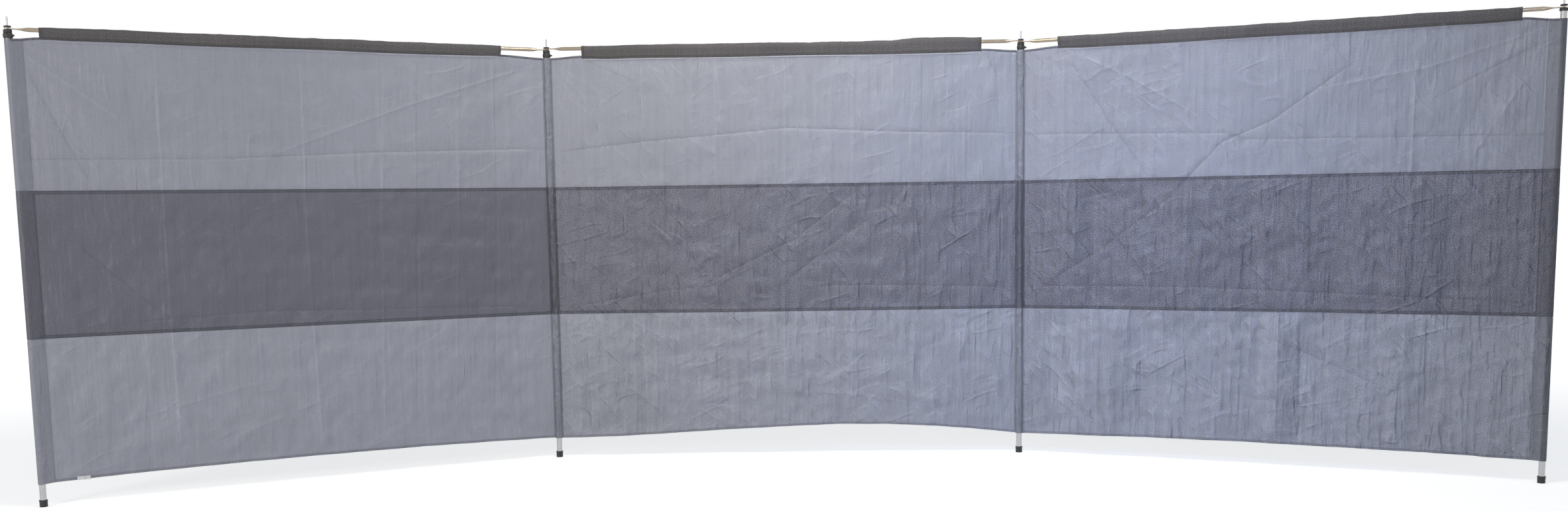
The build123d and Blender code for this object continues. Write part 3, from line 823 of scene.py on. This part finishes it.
def press_folds(bm, paths, reach, mark):
    """Cuts a flat grid along its fold lines, makes the cut edges sharp and marks their points."""
    verts = list(bm.verts)
    known = set(verts)
    spot = np.array([vert.co[:2] for vert in verts])
    low, high = spot.min(axis=0), spot.max(axis=0)
    for path, wear_and_shade in paths:
        for start, end in zip(path, path[1:]):
            if np.any(np.maximum(start, end) < low) or np.any(np.minimum(start, end) > high):
                continue
            way = np.subtract(end, start)
            share = np.clip((spot - start) @ way / (way @ way), 0, 1)
            near = np.linalg.norm(spot - start - share[:, None] * way, axis=1) < reach
            faces = {face for index in np.flatnonzero(near) for face in verts[index].link_faces}
            edges = {edge for face in faces for edge in face.edges}
            corners = {vert for face in faces for vert in face.verts}
            touched = [item for group in (faces, edges, corners) for item in sorted(group, key=by_index)]
            cut = bmesh.ops.bisect_plane(bm, geom=touched, dist=reach / FOLD_CUT_PARTS, plane_co=(*start, 0),
                                         plane_no=(-way[1], way[0], 0))["geom_cut"]
            # Fold marks: worn tone, with painted highlight on ridges and painted shade in valleys.
            for edge in (item for item in cut if isinstance(item, bmesh.types.BMEdge)):
                edge.smooth = False
                for vert in edge.verts:
                    vert[mark] = wear_and_shade
            fresh = [item for item in cut if isinstance(item, bmesh.types.BMVert) and item not in known]
            if fresh:
                verts += fresh
                known.update(fresh)
                spot = np.concatenate([spot, [vert.co[:2] for vert in fresh]])
            for group in (bm.verts, bm.edges, bm.faces):
                group.index_update()


def sheet_object(name, cut, thickness, slot, body, closed=False, paths=(), crumple=1.0,
                 weave_start=(0.0, 0.0), painted_light=None):
    """A piece of cloth: a grid laid out as cut, creased, placed and thickened, with a UV map in metres."""
    columns, rows = cut.columns(), cut.rows()
    bm = bmesh.new()
    bmesh.ops.create_grid(bm, x_segments=len(columns) - 1, y_segments=len(rows) - 1, size=1.0)
    spot = np.array([vert.co for vert in bm.verts])
    column = columns[np.rint((spot[:, 0] + 1) / 2 * (len(columns) - 1)).astype(int)]
    row = rows[np.rint((spot[:, 1] + 1) / 2 * (len(rows) - 1)).astype(int)]
    row_layer, inset_layer, crumple_layer, tone_mark_layer = (
        bm.verts.layers.float.new(layer) for layer in ("row", "inset", "crumple", "crease"))
    for vert, x, y, flat in zip(bm.verts, column, row, cut.flat_height(column, row)):
        vert.co = (x, flat, 0)
        vert[row_layer] = y
    if paths:
        press_folds(bm, paths, settings()[0].grid * FOLD_CUT_REACH, tone_mark_layer)
    column = np.array([vert.co.x for vert in bm.verts])
    row = np.array([vert[row_layer] for vert in bm.verts])
    bm.verts.index_update()
    uv_layer = bm.loops.layers.uv.new("cloth")
    for face in bm.faces:
        face.smooth = True
        for loop in face.loops:
            index = loop.vert.index
            loop[uv_layer].uv = (weave_start[0] + column[index], weave_start[1] + row[index])
    for vert, place, inset in zip(bm.verts, cut.place(column, row), cut.inset(column, row)):
        vert.co = place
        vert[inset_layer] = inset
        vert[crumple_layer] = crumple
    # Painted light and shade for facet tilt, band and end pocket, added to the fold lines' marks.
    if painted_light:
        for vert, paler in zip(bm.verts, painted_light(column, row)):
            vert[tone_mark_layer] += paler
    bm.verts.layers.float.remove(row_layer)
    if closed:
        bmesh.ops.remove_doubles(bm, verts=bm.verts[:], dist=thickness / WELD_PARTS)
    bm.normal_update()
    bmesh.ops.solidify(bm, geom=bm.faces[:], thickness=thickness)
    for edge in bm.edges:
        if edge.calc_face_angle(0) > SHARP_ANGLE:
            edge.smooth = False
    mesh = bpy.data.meshes.new(name)
    bm.to_mesh(mesh)
    bm.free()
    piece = add_piece(name, mesh, finish_material(slot), body)
    return piece, (columns[-1] - columns[0], rows[-1] - rows[0])


def link_object(name, data):
    """A new object in the scene."""
    holder = bpy.data.objects.new(name, data)
    bpy.context.scene.collection.objects.link(holder)
    return holder


def add_piece(name, mesh, material, body):
    """Puts a finished mesh in the scene on its body, with its finish."""
    piece = link_object(name, mesh)
    mesh.materials.append(material)
    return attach(piece, body)


# Shapes of the sewn cloth


def loop_path(distance, width, radius):
    """The end of a bay's cloth round its upright, seen from above.

    distance is measured along the cloth, and is width at the pocket's stitching. Past it the cloth runs to
    the upright on the front, round it, and back to the stitching. Gives the distance from the upright's axis,
    the distance to the front, and the direction that faces away from the upright.
    """
    turn = math.acos(radius / width)
    straight = math.sqrt(width**2 - radius**2)
    arc = radius * (2 * math.pi - 2 * turn)
    path = np.clip(width - distance, 0, None)
    first = np.clip(path / straight, 0, 1)
    angle = turn + np.clip((path - straight) / radius, 0, 2 * math.pi - 2 * turn)
    last = np.clip((path - straight - arc) / straight, 0, 1)
    reach, out = radius * np.cos(angle), radius * np.sin(angle)
    facing_reach, facing_out = np.cos(angle), np.sin(angle)
    on_first, on_last = path < straight, path > straight + arc
    tangent = (radius * math.cos(turn), radius * math.sin(turn))
    reach = np.where(on_first, width + (tangent[0] - width) * first, reach)
    out = np.where(on_first, tangent[1] * first, out)
    reach = np.where(on_last, tangent[0] + (width - tangent[0]) * last, reach)
    out = np.where(on_last, -tangent[1] * (1 - last) - LOOP_END_STEP * last, out)
    on_panel = distance >= width
    facing_reach = np.where(on_panel, 0.0, facing_reach)
    facing_out = np.where(on_panel, 1.0, facing_out)
    return np.where(on_panel, distance, reach), np.where(on_panel, 0.0, out), facing_reach, facing_out


def loop_length(width, radius):
    turn = math.acos(radius / width)
    return 2 * math.sqrt(width**2 - radius**2) + radius * (2 * math.pi - 2 * turn)


def band_rows(band, sizes, step, lip=0.0):
    """Rows of a band or a tunnel, close together in its hem, the seams' laps and the rolled edge."""
    low, high = np.array([0.0]), np.array([BAND_HEIGHT])
    if band == "lower":
        low, high = sizes.hem * HEM_ROW_SHARES, BAND_HEIGHT + sizes.seam_lap * LAP_ROW_SHARES
    if band == "upper":
        low, high = -sizes.seam_lap * LAP_ROW_SHARES, BAND_HEIGHT - lip * LIP_ROW_SHARES
    return joined(low, spaced(low.max(), high.min(), step), high)


def step_behind(band, row, sizes):
    """How far a row lies behind the front of the cloth, in the seams' laps and in the folded hem."""
    if band == "lower":
        lap = SEAM_STEP * smooth_step(row, BAND_HEIGHT - SEAM_RAMP, BAND_HEIGHT)
        return lap + HEM_STEP * smooth_step(-row, 0.0, sizes.hem / 4)
    if band == "upper":
        return SEAM_STEP * smooth_step(-row, -SEAM_RAMP, 0.0)
    return np.zeros_like(row)


def folded_up(band, row, z):
    """Heights after the hem is folded up."""
    return z + 2 * np.clip(-row, 0, None) if band == "lower" else z


class BandCut:
    """How one band of a bay is cut, and where each of its points goes.

    A row is the distance above the band's lower seam or hem. The dark centre band lies in front of the light
    bands, whose edges run on behind it for the lap of the seams.
    """

    def __init__(self, bay, band, sizes):
        self.bay, self.band, self.sizes = bay, band, sizes
        self.index = BANDS.index(band)
        self.radius = POLE_RADIUS + sizes.end_slack
        self.tail = sizes.end_pocket - loop_length(sizes.end_pocket, self.radius)

    def along(self, distance):
        """Distance along the bay, to the front, and the facing direction, for a distance along the cloth."""
        flat = np.zeros_like(distance)
        if self.bay.name == "middle":
            return distance, flat, flat, flat + 1
        if self.bay.name == "left":
            return loop_path(distance, self.sizes.end_pocket, self.radius)
        reach, out, facing_reach, facing_out = loop_path(
            self.bay.length - distance, self.sizes.end_pocket, self.radius)
        return self.bay.length - reach, out, -facing_reach, facing_out

    def columns(self):
        sizes, length = self.sizes, self.bay.length
        loop = spaced(self.tail, sizes.end_pocket, LOOP_GRID)
        left = loop if self.bay.name == "left" else np.array([sizes.panel_start])
        right = length - (loop if self.bay.name == "right" else np.array([sizes.panel_start]))
        return joined(left, spaced(left.max(), right.min(), sizes.grid), right)

    def rows(self):
        return band_rows(self.band, self.sizes, self.sizes.grid, self.sizes.lip)

    def edges(self, u):
        """Heights of the band's lower and upper edges."""
        seam = CLOTH_BOTTOM + self.index * BAND_HEIGHT
        low = self.bay.hem_line(u) if self.band == "lower" else np.full_like(u, seam)
        high = self.bay.top_line(u) if self.band == "upper" else np.full_like(u, seam + BAND_HEIGHT)
        return low, high

    def flat_height(self, distance, row):
        """Height of a row before the hem is folded up."""
        low, high = self.edges(self.along(distance)[0])
        inside = np.clip(row, 0, BAND_HEIGHT)
        return low + inside * (high - low) / BAND_HEIGHT + row - inside

    def place(self, distance, row, lift=0.0):
        """Points of the band. lift moves them out from the cloth's front face."""
        u, out, facing_u, facing_out = self.along(distance)
        z = self.flat_height(distance, row)
        z = folded_up(self.band, row, z)
        shift = lift - step_behind(self.band, row, self.sizes)
        if self.band == "upper":
            shift = shift + self.lip(u, z)
        return self.bay.points(u + facing_u * shift, z, out + self.bay.relief(u, z) + facing_out * shift)

    def painted_light(self, distance, row):
        """Painted light: how much paler, or below 0 darker, the cloth is painted for a pleat facet's tilt,
        its band and an end pocket.
        """
        height = (self.flat_height(distance, row) - CLOTH_BOTTOM) / CLOTH_HEIGHT
        paler = TILT_SHADE_SHARE * self.bay.pleats(self.along(distance)[0], height)[1]
        # Painted light and shade per band, evening out how the lamps light each band of each bay.
        paler += BAND_LIGHT_MARKS[self.bay.name][self.index]
        # Painted light on the end pockets for their turn towards the lamps or away; painted shade where the
        # right one turns round its upright.
        if self.bay.name == "left":
            paler += POCKET_LIGHT_MARKS["left"] * (distance < self.sizes.end_pocket)
        if self.bay.name == "right":
            reach = self.bay.length - distance
            paler += POCKET_LIGHT_MARKS["right"] * (reach < self.sizes.end_pocket)
            paler += POCKET_EDGE_SHADE * (reach < self.radius / 2)
        return paler

    def lip(self, u, z):
        """The cloth's edge rolls forward just below the rail sleeve."""
        ends = smooth_step(self.bay.past_sleeve_ends(u), *LIP_ENDS)
        below = z - sleeve_skirt(self.bay, u) + LIP_DROP
        return LIP_DEPTH * ends * np.exp(-((below / LIP_DROP) ** 2))

    def inset(self, distance, row):
        """Distance to where the cloth lies double, and less than 0 there."""
        sizes = self.sizes
        left, right = self.bay.at_uprights(sizes.pocket_margin, sizes.end_pocket)
        inset = np.minimum(distance - left, self.bay.length - distance - right)
        if self.band == "lower":
            inset = np.minimum(inset, row - sizes.hem)
        if self.band == "centre":
            inset = np.minimum(inset, np.minimum(row, BAND_HEIGHT - row) - sizes.seam_lap)
        return inset


class PocketCut:
    """The tunnel of one band round a middle upright."""

    def __init__(self, pole, band, sizes, seed):
        self.axis, self.band, self.sizes, self.seed = pole_axis(pole), band, sizes, seed
        self.index = BANDS.index(band)
        self.radius = POLE_RADIUS + sizes.pocket_slack

    def columns(self):
        return np.linspace(0, 2 * math.pi * self.radius, POCKET_SIDES + 1)

    def rows(self):
        return band_rows(self.band, self.sizes, POCKET_GRID)

    def flat_height(self, distance, row):
        return CLOTH_BOTTOM + self.index * BAND_HEIGHT + row

    def place(self, distance, row):
        turn = distance / self.radius
        z = self.flat_height(distance, row)
        radius = self.radius + np.zeros_like(turn)
        random = np.random.default_rng(self.seed)
        for lobes in (1, 2, 3, 4):
            phase, drift = random.uniform(0, 2 * math.pi), random.uniform(-POCKET_DRIFT, POCKET_DRIFT)
            sway = random.uniform(*POCKET_SWAY)
            radius += POCKET_WAVE * np.sin(lobes * turn + phase + drift * z + np.sin(z * sway)) / lobes
        z = folded_up(self.band, row, z)
        radius -= step_behind(self.band, row, self.sizes)
        return np.stack([self.axis.x + radius * np.cos(turn), self.axis.y + radius * np.sin(turn), z], axis=1)

    def inset(self, distance, row):
        """The whole tunnel lies double."""
        return np.full(np.shape(distance), -1.0)


def sleeve_skirt(bay, u):
    """Height of a rail sleeve's lower edges."""
    ends = bay.past_sleeve_ends(u)
    drop = SKIRT_END_DROP + SKIRT_DROP * smooth_step(ends, 0, SKIRT_END) - SLEEVE_RAISE[bay.name]
    return CLOTH_TOP - drop + SKIRT_WAVE * np.sin(u * SKIRT_TURNS + bay.seed)


class StripCut:
    """A strip of cloth whose rows lie flat as they are counted."""

    def flat_height(self, distance, row):
        return row


class SleeveCut(StripCut):
    """The sleeve over a rail: a strip folded over the tube with both edges sewn to the cloth's upper edge.

    A row is the distance from the crown, measured over the cloth, and less than 0 to the front.
    """

    def __init__(self, bay, sizes):
        self.bay, self.sizes = bay, sizes
        self.radius = RAIL_RADIUS + sizes.sleeve_slack
        left, right = SLEEVE_INSETS[bay.name]
        self.start, self.end = left, bay.length - right
        self.turn = self.radius * math.pi / 2
        self.hang = bay.rail_level - CLOTH_TOP + SLEEVE_LAP - SLEEVE_RAISE[bay.name]
        self.half = self.turn + self.hang

    def columns(self):
        return spaced(self.start, self.end, SLEEVE_GRID)

    def rows(self):
        crown = spaced(0, self.turn, SLEEVE_GRID / CROWN_STEPS)
        skirt = spaced(self.turn, self.half, SLEEVE_GRID / SKIRT_STEPS)
        return joined(-crown, -skirt, crown, skirt)

    def crown(self, u):
        """How far the sleeve's crown stands above the rail's own."""
        waves = sum(share * np.sin(u * turns + times * self.bay.seed) for share, turns, times in SLEEVE_WAVES)
        lift = SLEEVE_WAVE * (1 + waves)
        if self.bay.name == "middle":
            fall = 1 - BULGE_FALL_SHARE * smooth_step(u, *BULGE_FALL)
            lift = lift + SLEEVE_BULGE * smooth_step(u, *BULGE_RISE) * fall
        return lift

    def place(self, u, row, lift=0.0):
        level, skirt = self.bay.rail_level + self.crown(u), sleeve_skirt(self.bay, u)
        ends = np.minimum(u - self.start, self.end - u)
        flare = SLEEVE_FLARE[self.bay.name] * (1 - smooth_step(ends, 0, SLEEVE_FLARE_LENGTH))
        wrinkle = sum(height * ripples(u * squeeze, row, length, self.bay.seed + WRINKLE_SEED + index)
                      for index, (squeeze, length, height) in enumerate(SLEEVE_WRINKLES))
        radius = self.radius + flare + lift + wrinkle
        side = np.sign(row)
        angle = np.clip(row / self.turn, -1, 1) * math.pi / 2
        hang = np.clip((np.abs(row) - self.turn) / self.hang, 0, 1)
        close = radius * (1 - smooth_step(hang, 0.0, SLEEVE_CLOSE_SHARE))
        close = close + (SKIRT_GAP + lift + 0.5 * wrinkle) * hang
        out = np.where(hang > 0, -side * close, -radius * np.sin(angle))
        z = np.where(hang > 0, level + (skirt - level) * hang, level + radius * np.cos(angle))
        return self.bay.points(u, z, out)

    def inset(self, u, row):
        """The ends and the lower edges are turned in."""
        return np.minimum(np.minimum(u - self.start, self.end - u) - SLEEVE_HEM,
                          self.half - np.abs(row) - SLEEVE_HEM)


class BindingCut(StripCut):
    """The narrow binding folded over the cloth's upper edge from upright to upright.

    A row is the distance from the fold, and less than 0 to the front.
    """

    def __init__(self, band_cut):
        self.band_cut, self.bay, self.sizes = band_cut, band_cut.bay, band_cut.sizes
        straight = math.sqrt(self.sizes.end_pocket**2 - band_cut.radius**2)
        left, right = self.bay.at_uprights(BINDING_CLEAR, self.sizes.end_pocket - straight)
        self.start, self.end = left, self.bay.length - right

    def columns(self):
        return spaced(self.start, self.end, BINDING_GRID)

    def rows(self):
        half = self.sizes.binding * BINDING_ROW_SHARES
        return joined(-half, half)

    def place(self, distance, row, lift=0.0):
        u, out, facing_u, facing_out = self.band_cut.along(distance)
        z = self.bay.top_line(u) + BINDING_RISE - np.abs(row)
        round_edge = smooth_step(np.abs(row), 0, self.sizes.binding / 4)
        shift = -np.sign(row) * (BINDING_FOLD_GAP + BINDING_GAP * round_edge + lift)
        return self.bay.points(u + facing_u * shift, z, out + self.bay.relief(u, z) + facing_out * shift)

    def inset(self, distance, row):
        return np.ones(np.shape(distance))


class TagCut(StripCut):
    """The blank care tag sewn under the edge of the left bay's lower hem; its free end curls forward."""

    def __init__(self, bay):
        self.bay = bay
        corners = [(Vector(corner) - bay.start).dot(bay.along) for corner in (TAG_LOW, TAG_HIGH)]
        self.middle = sum(corners) / 2
        self.width, self.height = TAG_SIZE
        self.low = TAG_LOW.z

    def columns(self):
        return spaced(-self.width / 2, self.width / 2, self.width / TAG_COLUMNS)

    def rows(self):
        return spaced(0, self.height, self.height / TAG_ROWS)

    def place(self, across, row):
        u, z = self.middle + across, self.low + row
        free = 1 - row / self.height
        sway = 1 + TAG_CURL_SHARE * np.sin(across / self.width * TAG_CURL_TURNS + TAG_CURL_START)
        curl = TAG_GAP + TAG_CURL * free**2 * sway
        return self.bay.points(u, z, self.bay.relief(u, z) + curl)

    def inset(self, across, row):
        inset = np.minimum(np.minimum(row, self.height - row), self.width / 2 - np.abs(across))
        return inset - TAG_HEM


class WINDBREAK_OT_steel(bpy.types.Operator):
    """Gives the uprights, rails and pins their plated steel"""

    bl_idname = "windbreak.steel"
    bl_label = "Steel"

    def execute(self, context):
        for pole in POLES:
            finish_node(f"{pole}_upright", "pole_steel")
            finish_node(f"{pole}_rail_pin", "pin_steel")
        for bay in BAYS:
            finish_node(f"{bay}_rail", "rail_steel")
        return {"FINISHED"}


class WINDBREAK_OT_plastic(bpy.types.Operator):
    """Gives the foot caps, top plugs, rail caps and guy collars their moulded plastic"""

    bl_idname = "windbreak.plastic"
    bl_label = "Plastic"

    def execute(self, context):
        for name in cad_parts:
            if name.endswith(("foot_cap", "top_plug", "rail_cap", "guy_collar")):
                finish_node(name, "black_plastic")
        return {"FINISHED"}


class WINDBREAK_OT_bands(bpy.types.Operator):
    """Sews the nine bands of cloth"""

    bl_idname = "windbreak.bands"
    bl_label = "Cloth bands"

    def execute(self, context):
        sizes = settings()[0]
        for bay in BAYS.values():
            for index, band in enumerate(BANDS):
                cut = BandCut(bay, band, sizes)
                piece, flat = sheet_object(
                    f"{bay.name}_{band}_cloth", cut, sizes.thickness, BAND_SLOTS[band], bay.body,
                    paths=bay.fold_paths(), crumple=CRUMPLE_SHARES[bay.name][index],
                    weave_start=(bay.seed, index), painted_light=cut.painted_light)
                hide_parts(f"{bay.name}_{band}_band")
                if bay.name != "middle":
                    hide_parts(f"{bay.name}_{band}_pocket")
        return {"FINISHED"}


class WINDBREAK_OT_pockets(bpy.types.Operator):
    """Sews the cloth tunnels round the two middle uprights"""

    bl_idname = "windbreak.pockets"
    bl_label = "Upright pockets"

    def execute(self, context):
        sizes = settings()[0]
        for place, pole in enumerate(("middle_left", "middle_right")):
            for band in BANDS:
                cut = PocketCut(pole, band, sizes, POCKET_SEED + place)
                piece, flat = sheet_object(f"{pole}_{band}_tunnel", cut, sizes.thickness, BAND_SLOTS[band],
                                           "middle_bay", closed=True, weave_start=(place, BANDS.index(band)))
                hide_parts(f"{pole}_{band}_pocket")
        return {"FINISHED"}


class WINDBREAK_OT_sleeves(bpy.types.Operator):
    """Sews the rail sleeves and the binding of the cloth's upper edge"""

    bl_idname = "windbreak.sleeves"
    bl_label = "Rail sleeves"

    def execute(self, context):
        sizes = settings()[0]
        for bay in BAYS.values():
            piece, flat = sheet_object(f"{bay.name}_sleeve_cloth", SleeveCut(bay, sizes),
                                       sizes.thickness * SLEEVE_LAYERS, "sleeve_cloth", bay.body)
            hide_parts(f"{bay.name}_rail_sleeve")
            binding = BindingCut(BandCut(bay, "upper", sizes))
            piece, flat = sheet_object(f"{bay.name}_upper_binding", binding, sizes.thickness, "dark_cloth",
                                       bay.body)
        return {"FINISHED"}


class WINDBREAK_OT_stitching(bpy.types.Operator):
    """Sews the rows of stitches along the seams, hems, pockets and sleeves"""

    bl_idname = "windbreak.stitching"
    bl_label = "Stitching"

    def execute(self, context):
        sizes = settings()[0]
        for bay in BAYS.values():
            lower, centre, upper = (BandCut(bay, band, sizes) for band in BANDS)
            lap, edge = sizes.seam_lap, sizes.stitch_edge
            start, end = centre.columns()[[0, -1]]
            start = max(start, sizes.end_pocket / 2 if bay.name == "left" else start)
            end = min(end, bay.length - sizes.end_pocket / 2 if bay.name == "right" else end)
            dark = [(centre, (start, row), (end, row))
                    for row in (edge, lap - edge, BAND_HEIGHT - edge, BAND_HEIGHT - lap + edge)]
            light = [(lower, (start, sizes.hem - edge), (end, sizes.hem - edge))]
            left, right = bay.at_uprights(sizes.pocket_margin - edge, sizes.end_pocket - edge)
            margins = (left, bay.length - right)
            for margin in margins:
                for rows, cut in ((light, lower), (dark, centre), (light, upper)):
                    rows.append((cut, (margin, 0), (margin, BAND_HEIGHT)))
            sleeve, binding = SleeveCut(bay, sizes), BindingCut(upper)
            for strip, row in ((sleeve, edge - sleeve.half), (binding, edge - sizes.binding)):
                dark.append((strip, (strip.start, row), (strip.end, row)))
            row = BAND_HEIGHT - TOPSTITCH_DROP
            below = [(upper, (sleeve.start, row), (sleeve.end, row))]
            self.sew(f"{bay.name}_dark_stitches", dark, "dark_thread", bay.body, sizes, *SEAM_STITCH_SHARES)
            self.sew(f"{bay.name}_light_stitches", light, "light_thread", bay.body, sizes)
            self.sew(f"{bay.name}_sleeve_stitches", below, TOPSTITCH_THREADS[bay.name], bay.body, sizes,
                     *TOPSTITCH_SHARES[bay.name])
        return {"FINISHED"}

    def sew(self, name, rows, material, body, sizes, longer=1.0, scale=1.0):
        """One piece with all the stitches of a thread: each lies on the cloth along its row."""
        corners, sides = self.one_stitch()
        places = []
        for cut, start, end in rows:
            way = np.subtract(end, start)
            count = int(np.linalg.norm(way) / sizes.stitch_pitch)
            shares = (np.arange(count) + 0.5) / count
            step = 0.5 * longer * sizes.stitch_length / np.linalg.norm(way)
            lift = sizes.thickness + STITCH_LIFT_SHARE * sizes.thread
            first, last = (self.points(cut, start, way, shares + sign * step, lift) for sign in (-1, 1))
            middle, along = (first + last) / 2, (last - first) / 2
            out = middle - self.points(cut, start, way, shares, 0.0)
            side = np.cross(along, out)
            side *= scale * sizes.thread / 2 / np.linalg.norm(side, axis=1, keepdims=True)
            out = np.cross(side, along)
            out *= scale * sizes.thread / 2 / np.linalg.norm(out, axis=1, keepdims=True)
            axes = np.stack([along, side, out], axis=1)
            places.append(middle[:, None, :] + np.einsum("vk,skx->svx", corners, axes))
        points = np.concatenate(places)
        faces = sides[None] + len(corners) * np.arange(len(points))[:, None, None]
        mesh = bpy.data.meshes.new(name)
        mesh.from_pydata(points.reshape(-1, 3).tolist(), [], faces.reshape(-1, 3).tolist())
        mesh.shade_smooth()
        add_piece(name, mesh, thread_material(material), body)

    def one_stitch(self):
        """The corners and faces of a small bead that is stretched into each stitch."""
        bm = bmesh.new()
        bmesh.ops.create_icosphere(bm, subdivisions=1, radius=1.0)
        corners = np.array([vert.co for vert in bm.verts])
        sides = np.array([[vert.index for vert in face.verts] for face in bm.faces])
        bm.free()
        return corners, sides

    def points(self, cut, start, way, shares, lift):
        places = np.array(start) + np.outer(shares, way)
        return cut.place(places[:, 0], places[:, 1], lift)


class WINDBREAK_OT_care_tag(bpy.types.Operator):
    """Sews the blank care tag to the left bay's lower hem"""

    bl_idname = "windbreak.care_tag"
    bl_label = "Care tag"

    def execute(self, context):
        sizes = settings()[0]
        piece, flat = sheet_object("left_tag_ribbon", TagCut(BAYS["left"]), sizes.thickness / 2, "tag_cloth",
                                   "left_bay")
        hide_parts("left_care_tag")
        return {"FINISHED"}


WHITE = (1, 1, 1, 1)
FLOOR_COLOUR, FLOOR_ROUGHNESS, FLOOR_SPECULAR = (0.80, 0.80, 0.80, 1), 0.9, 0.1
FLOOR_WHITE = (2.6, 7.0)  # between these distances from the middle, the floor turns all white
LAMP_SIZES = {"key": (1.0, 0.7), "side": (1.0, 0.8), "pool": (0.6, 0.6)}
SENSOR_WIDTH = 36.0  # in millimetres


class WINDBREAK_OT_stage(bpy.types.Operator):
    """Sets up the floor, the light and the camera"""

    bl_idname = "windbreak.stage"
    bl_label = "Stage"

    def execute(self, context):
        stage = settings()[2]
        context.scene.view_settings.view_transform = "Standard"
        self.add_floor(stage)
        self.add_world(stage)
        self.add_lamps(stage)
        self.add_camera(stage)
        return {"FINISHED"}

    def add_floor(self, stage):
        bm = bmesh.new()
        bmesh.ops.create_grid(bm, x_segments=2, y_segments=2, size=stage.floor_size)
        mesh = bpy.data.meshes.new("floor")
        bm.to_mesh(mesh)
        bm.free()
        floor = link_object("floor", mesh)
        mesh.materials.append(self.floor_material(stage))

    def floor_material(self, stage):
        """Pale matt floor that the camera sees as white, apart from the shadow near the windbreak."""
        material, tree, shader = new_material("pale_floor")
        shader.inputs["Base Color"].default_value = FLOOR_COLOUR
        shader.inputs["Roughness"].default_value = FLOOR_ROUGHNESS
        shader.inputs["Specular IOR Level"].default_value = FLOOR_SPECULAR
        shader.inputs["Emission Color"].default_value = WHITE
        place = add_node(tree, "ShaderNodeTexCoord").outputs["Object"]
        away = add_node(tree, "ShaderNodeVectorMath", {0: place}, operation="LENGTH").outputs["Value"]
        far = map_range(tree, away, FLOOR_WHITE, (stage.floor_glow, 1.0), interpolation_type="SMOOTHSTEP")
        glow = multiply(tree, far, self.seen_rays(tree))
        tree.links.new(glow, shader.inputs["Emission Strength"])
        return material

    def seen_rays(self, tree):
        """1 for rays from the camera and for mirrored or refracted ones."""
        path = add_node(tree, "ShaderNodeLightPath").outputs
        mirrored = calculate(tree, "MAXIMUM", path["Is Glossy Ray"], path["Is Transmission Ray"])
        return calculate(tree, "MAXIMUM", path["Is Camera Ray"], mirrored)

    def add_world(self, stage):
        world = bpy.data.worlds.new("studio")
        bpy.context.scene.world = world
        world.use_nodes = True
        tree = world.node_tree
        seen = self.seen_rays(tree)
        background = tree.nodes["Background"]
        colour = mix_colours(tree, seen, (*stage.room_colour, 1), WHITE)
        tree.links.new(colour, background.inputs["Color"])
        tree.links.new(stretch_range(tree, seen, stage.room_light, 1.0), background.inputs["Strength"])

    def add_lamps(self, stage):
        for name, size in LAMP_SIZES.items():
            power, place, target, colour = (
                getattr(stage, f"{name}_{value}") for value in ("power", "place", "target", "colour"))
            spread = getattr(stage, f"{name}_spread", math.pi)
            self.add_lamp(name, power, place, target, size, colour, spread)

    def add_lamp(self, name, power, place, target, size, colour, spread):
        lamp = bpy.data.lights.new(name, "AREA")
        lamp.energy, lamp.shape, lamp.color = power, "RECTANGLE", colour
        lamp.size, lamp.size_y = size
        lamp.spread = spread
        holder = link_object(name, lamp)
        holder.visible_camera = False
        holder.location = place
        holder.rotation_mode = "QUATERNION"
        holder.rotation_quaternion = (Vector(target) - Vector(place)).to_track_quat("-Z", "Y")

    def add_camera(self, stage):
        yaw, pitch, roll = stage.yaw, stage.pitch, stage.roll
        ahead = Vector((math.sin(yaw) * math.cos(pitch), math.cos(yaw) * math.cos(pitch), -math.sin(pitch)))
        level = Vector((math.cos(yaw), -math.sin(yaw), 0))
        upright = level.cross(ahead)
        right = math.cos(roll) * level + math.sin(roll) * upright
        top = math.cos(roll) * upright - math.sin(roll) * level
        data = bpy.data.cameras.new("camera")
        data.sensor_fit, data.sensor_width = "HORIZONTAL", SENSOR_WIDTH
        data.lens, data.shift_y = stage.lens, stage.shift
        camera = link_object("camera", data)
        turn = Matrix((right, top, -ahead)).transposed().to_4x4()
        camera.matrix_world = Matrix.Translation(stage.camera_place) @ turn
        bpy.context.scene.camera = camera


STEPS = (
    WINDBREAK_OT_steel,
    WINDBREAK_OT_plastic,
    WINDBREAK_OT_bands,
    WINDBREAK_OT_pockets,
    WINDBREAK_OT_sleeves,
    WINDBREAK_OT_stitching,
    WINDBREAK_OT_care_tag,
    WINDBREAK_OT_stage,
)


class WINDBREAK_PT_panel(bpy.types.Panel):
    """Lists the steps that finish the windbreak"""

    bl_idname = "WINDBREAK_PT_panel"
    bl_label = "Beach Windbreak"
    bl_space_type = "VIEW_3D"
    bl_region_type = "UI"
    bl_category = "Windbreak"

    def draw(self, context):
        for step in STEPS:
            self.layout.operator(step.bl_idname)


GROUPS = {"windbreak_cloth": ClothSizes, "windbreak_colours": FinishColours, "windbreak_stage": StageSettings}


def register():
    for name, group in GROUPS.items():
        bpy.utils.register_class(group)
        setattr(bpy.types.Scene, name, PointerProperty(type=group))
    for item in (*STEPS, WINDBREAK_PT_panel):
        bpy.utils.register_class(item)


def unregister():
    for item in (WINDBREAK_PT_panel, *reversed(STEPS)):
        bpy.utils.unregister_class(item)
    for name, group in GROUPS.items():
        delattr(bpy.types.Scene, name)
        bpy.utils.unregister_class(group)


def main():
    register()
    bpy.ops.windbreak.steel()
    bpy.ops.windbreak.plastic()
    bpy.ops.windbreak.bands()
    bpy.ops.windbreak.pockets()
    bpy.ops.windbreak.sleeves()
    bpy.ops.windbreak.stitching()
    bpy.ops.windbreak.care_tag()
    bpy.ops.windbreak.stage()


if __name__ == "__main__":
    main()
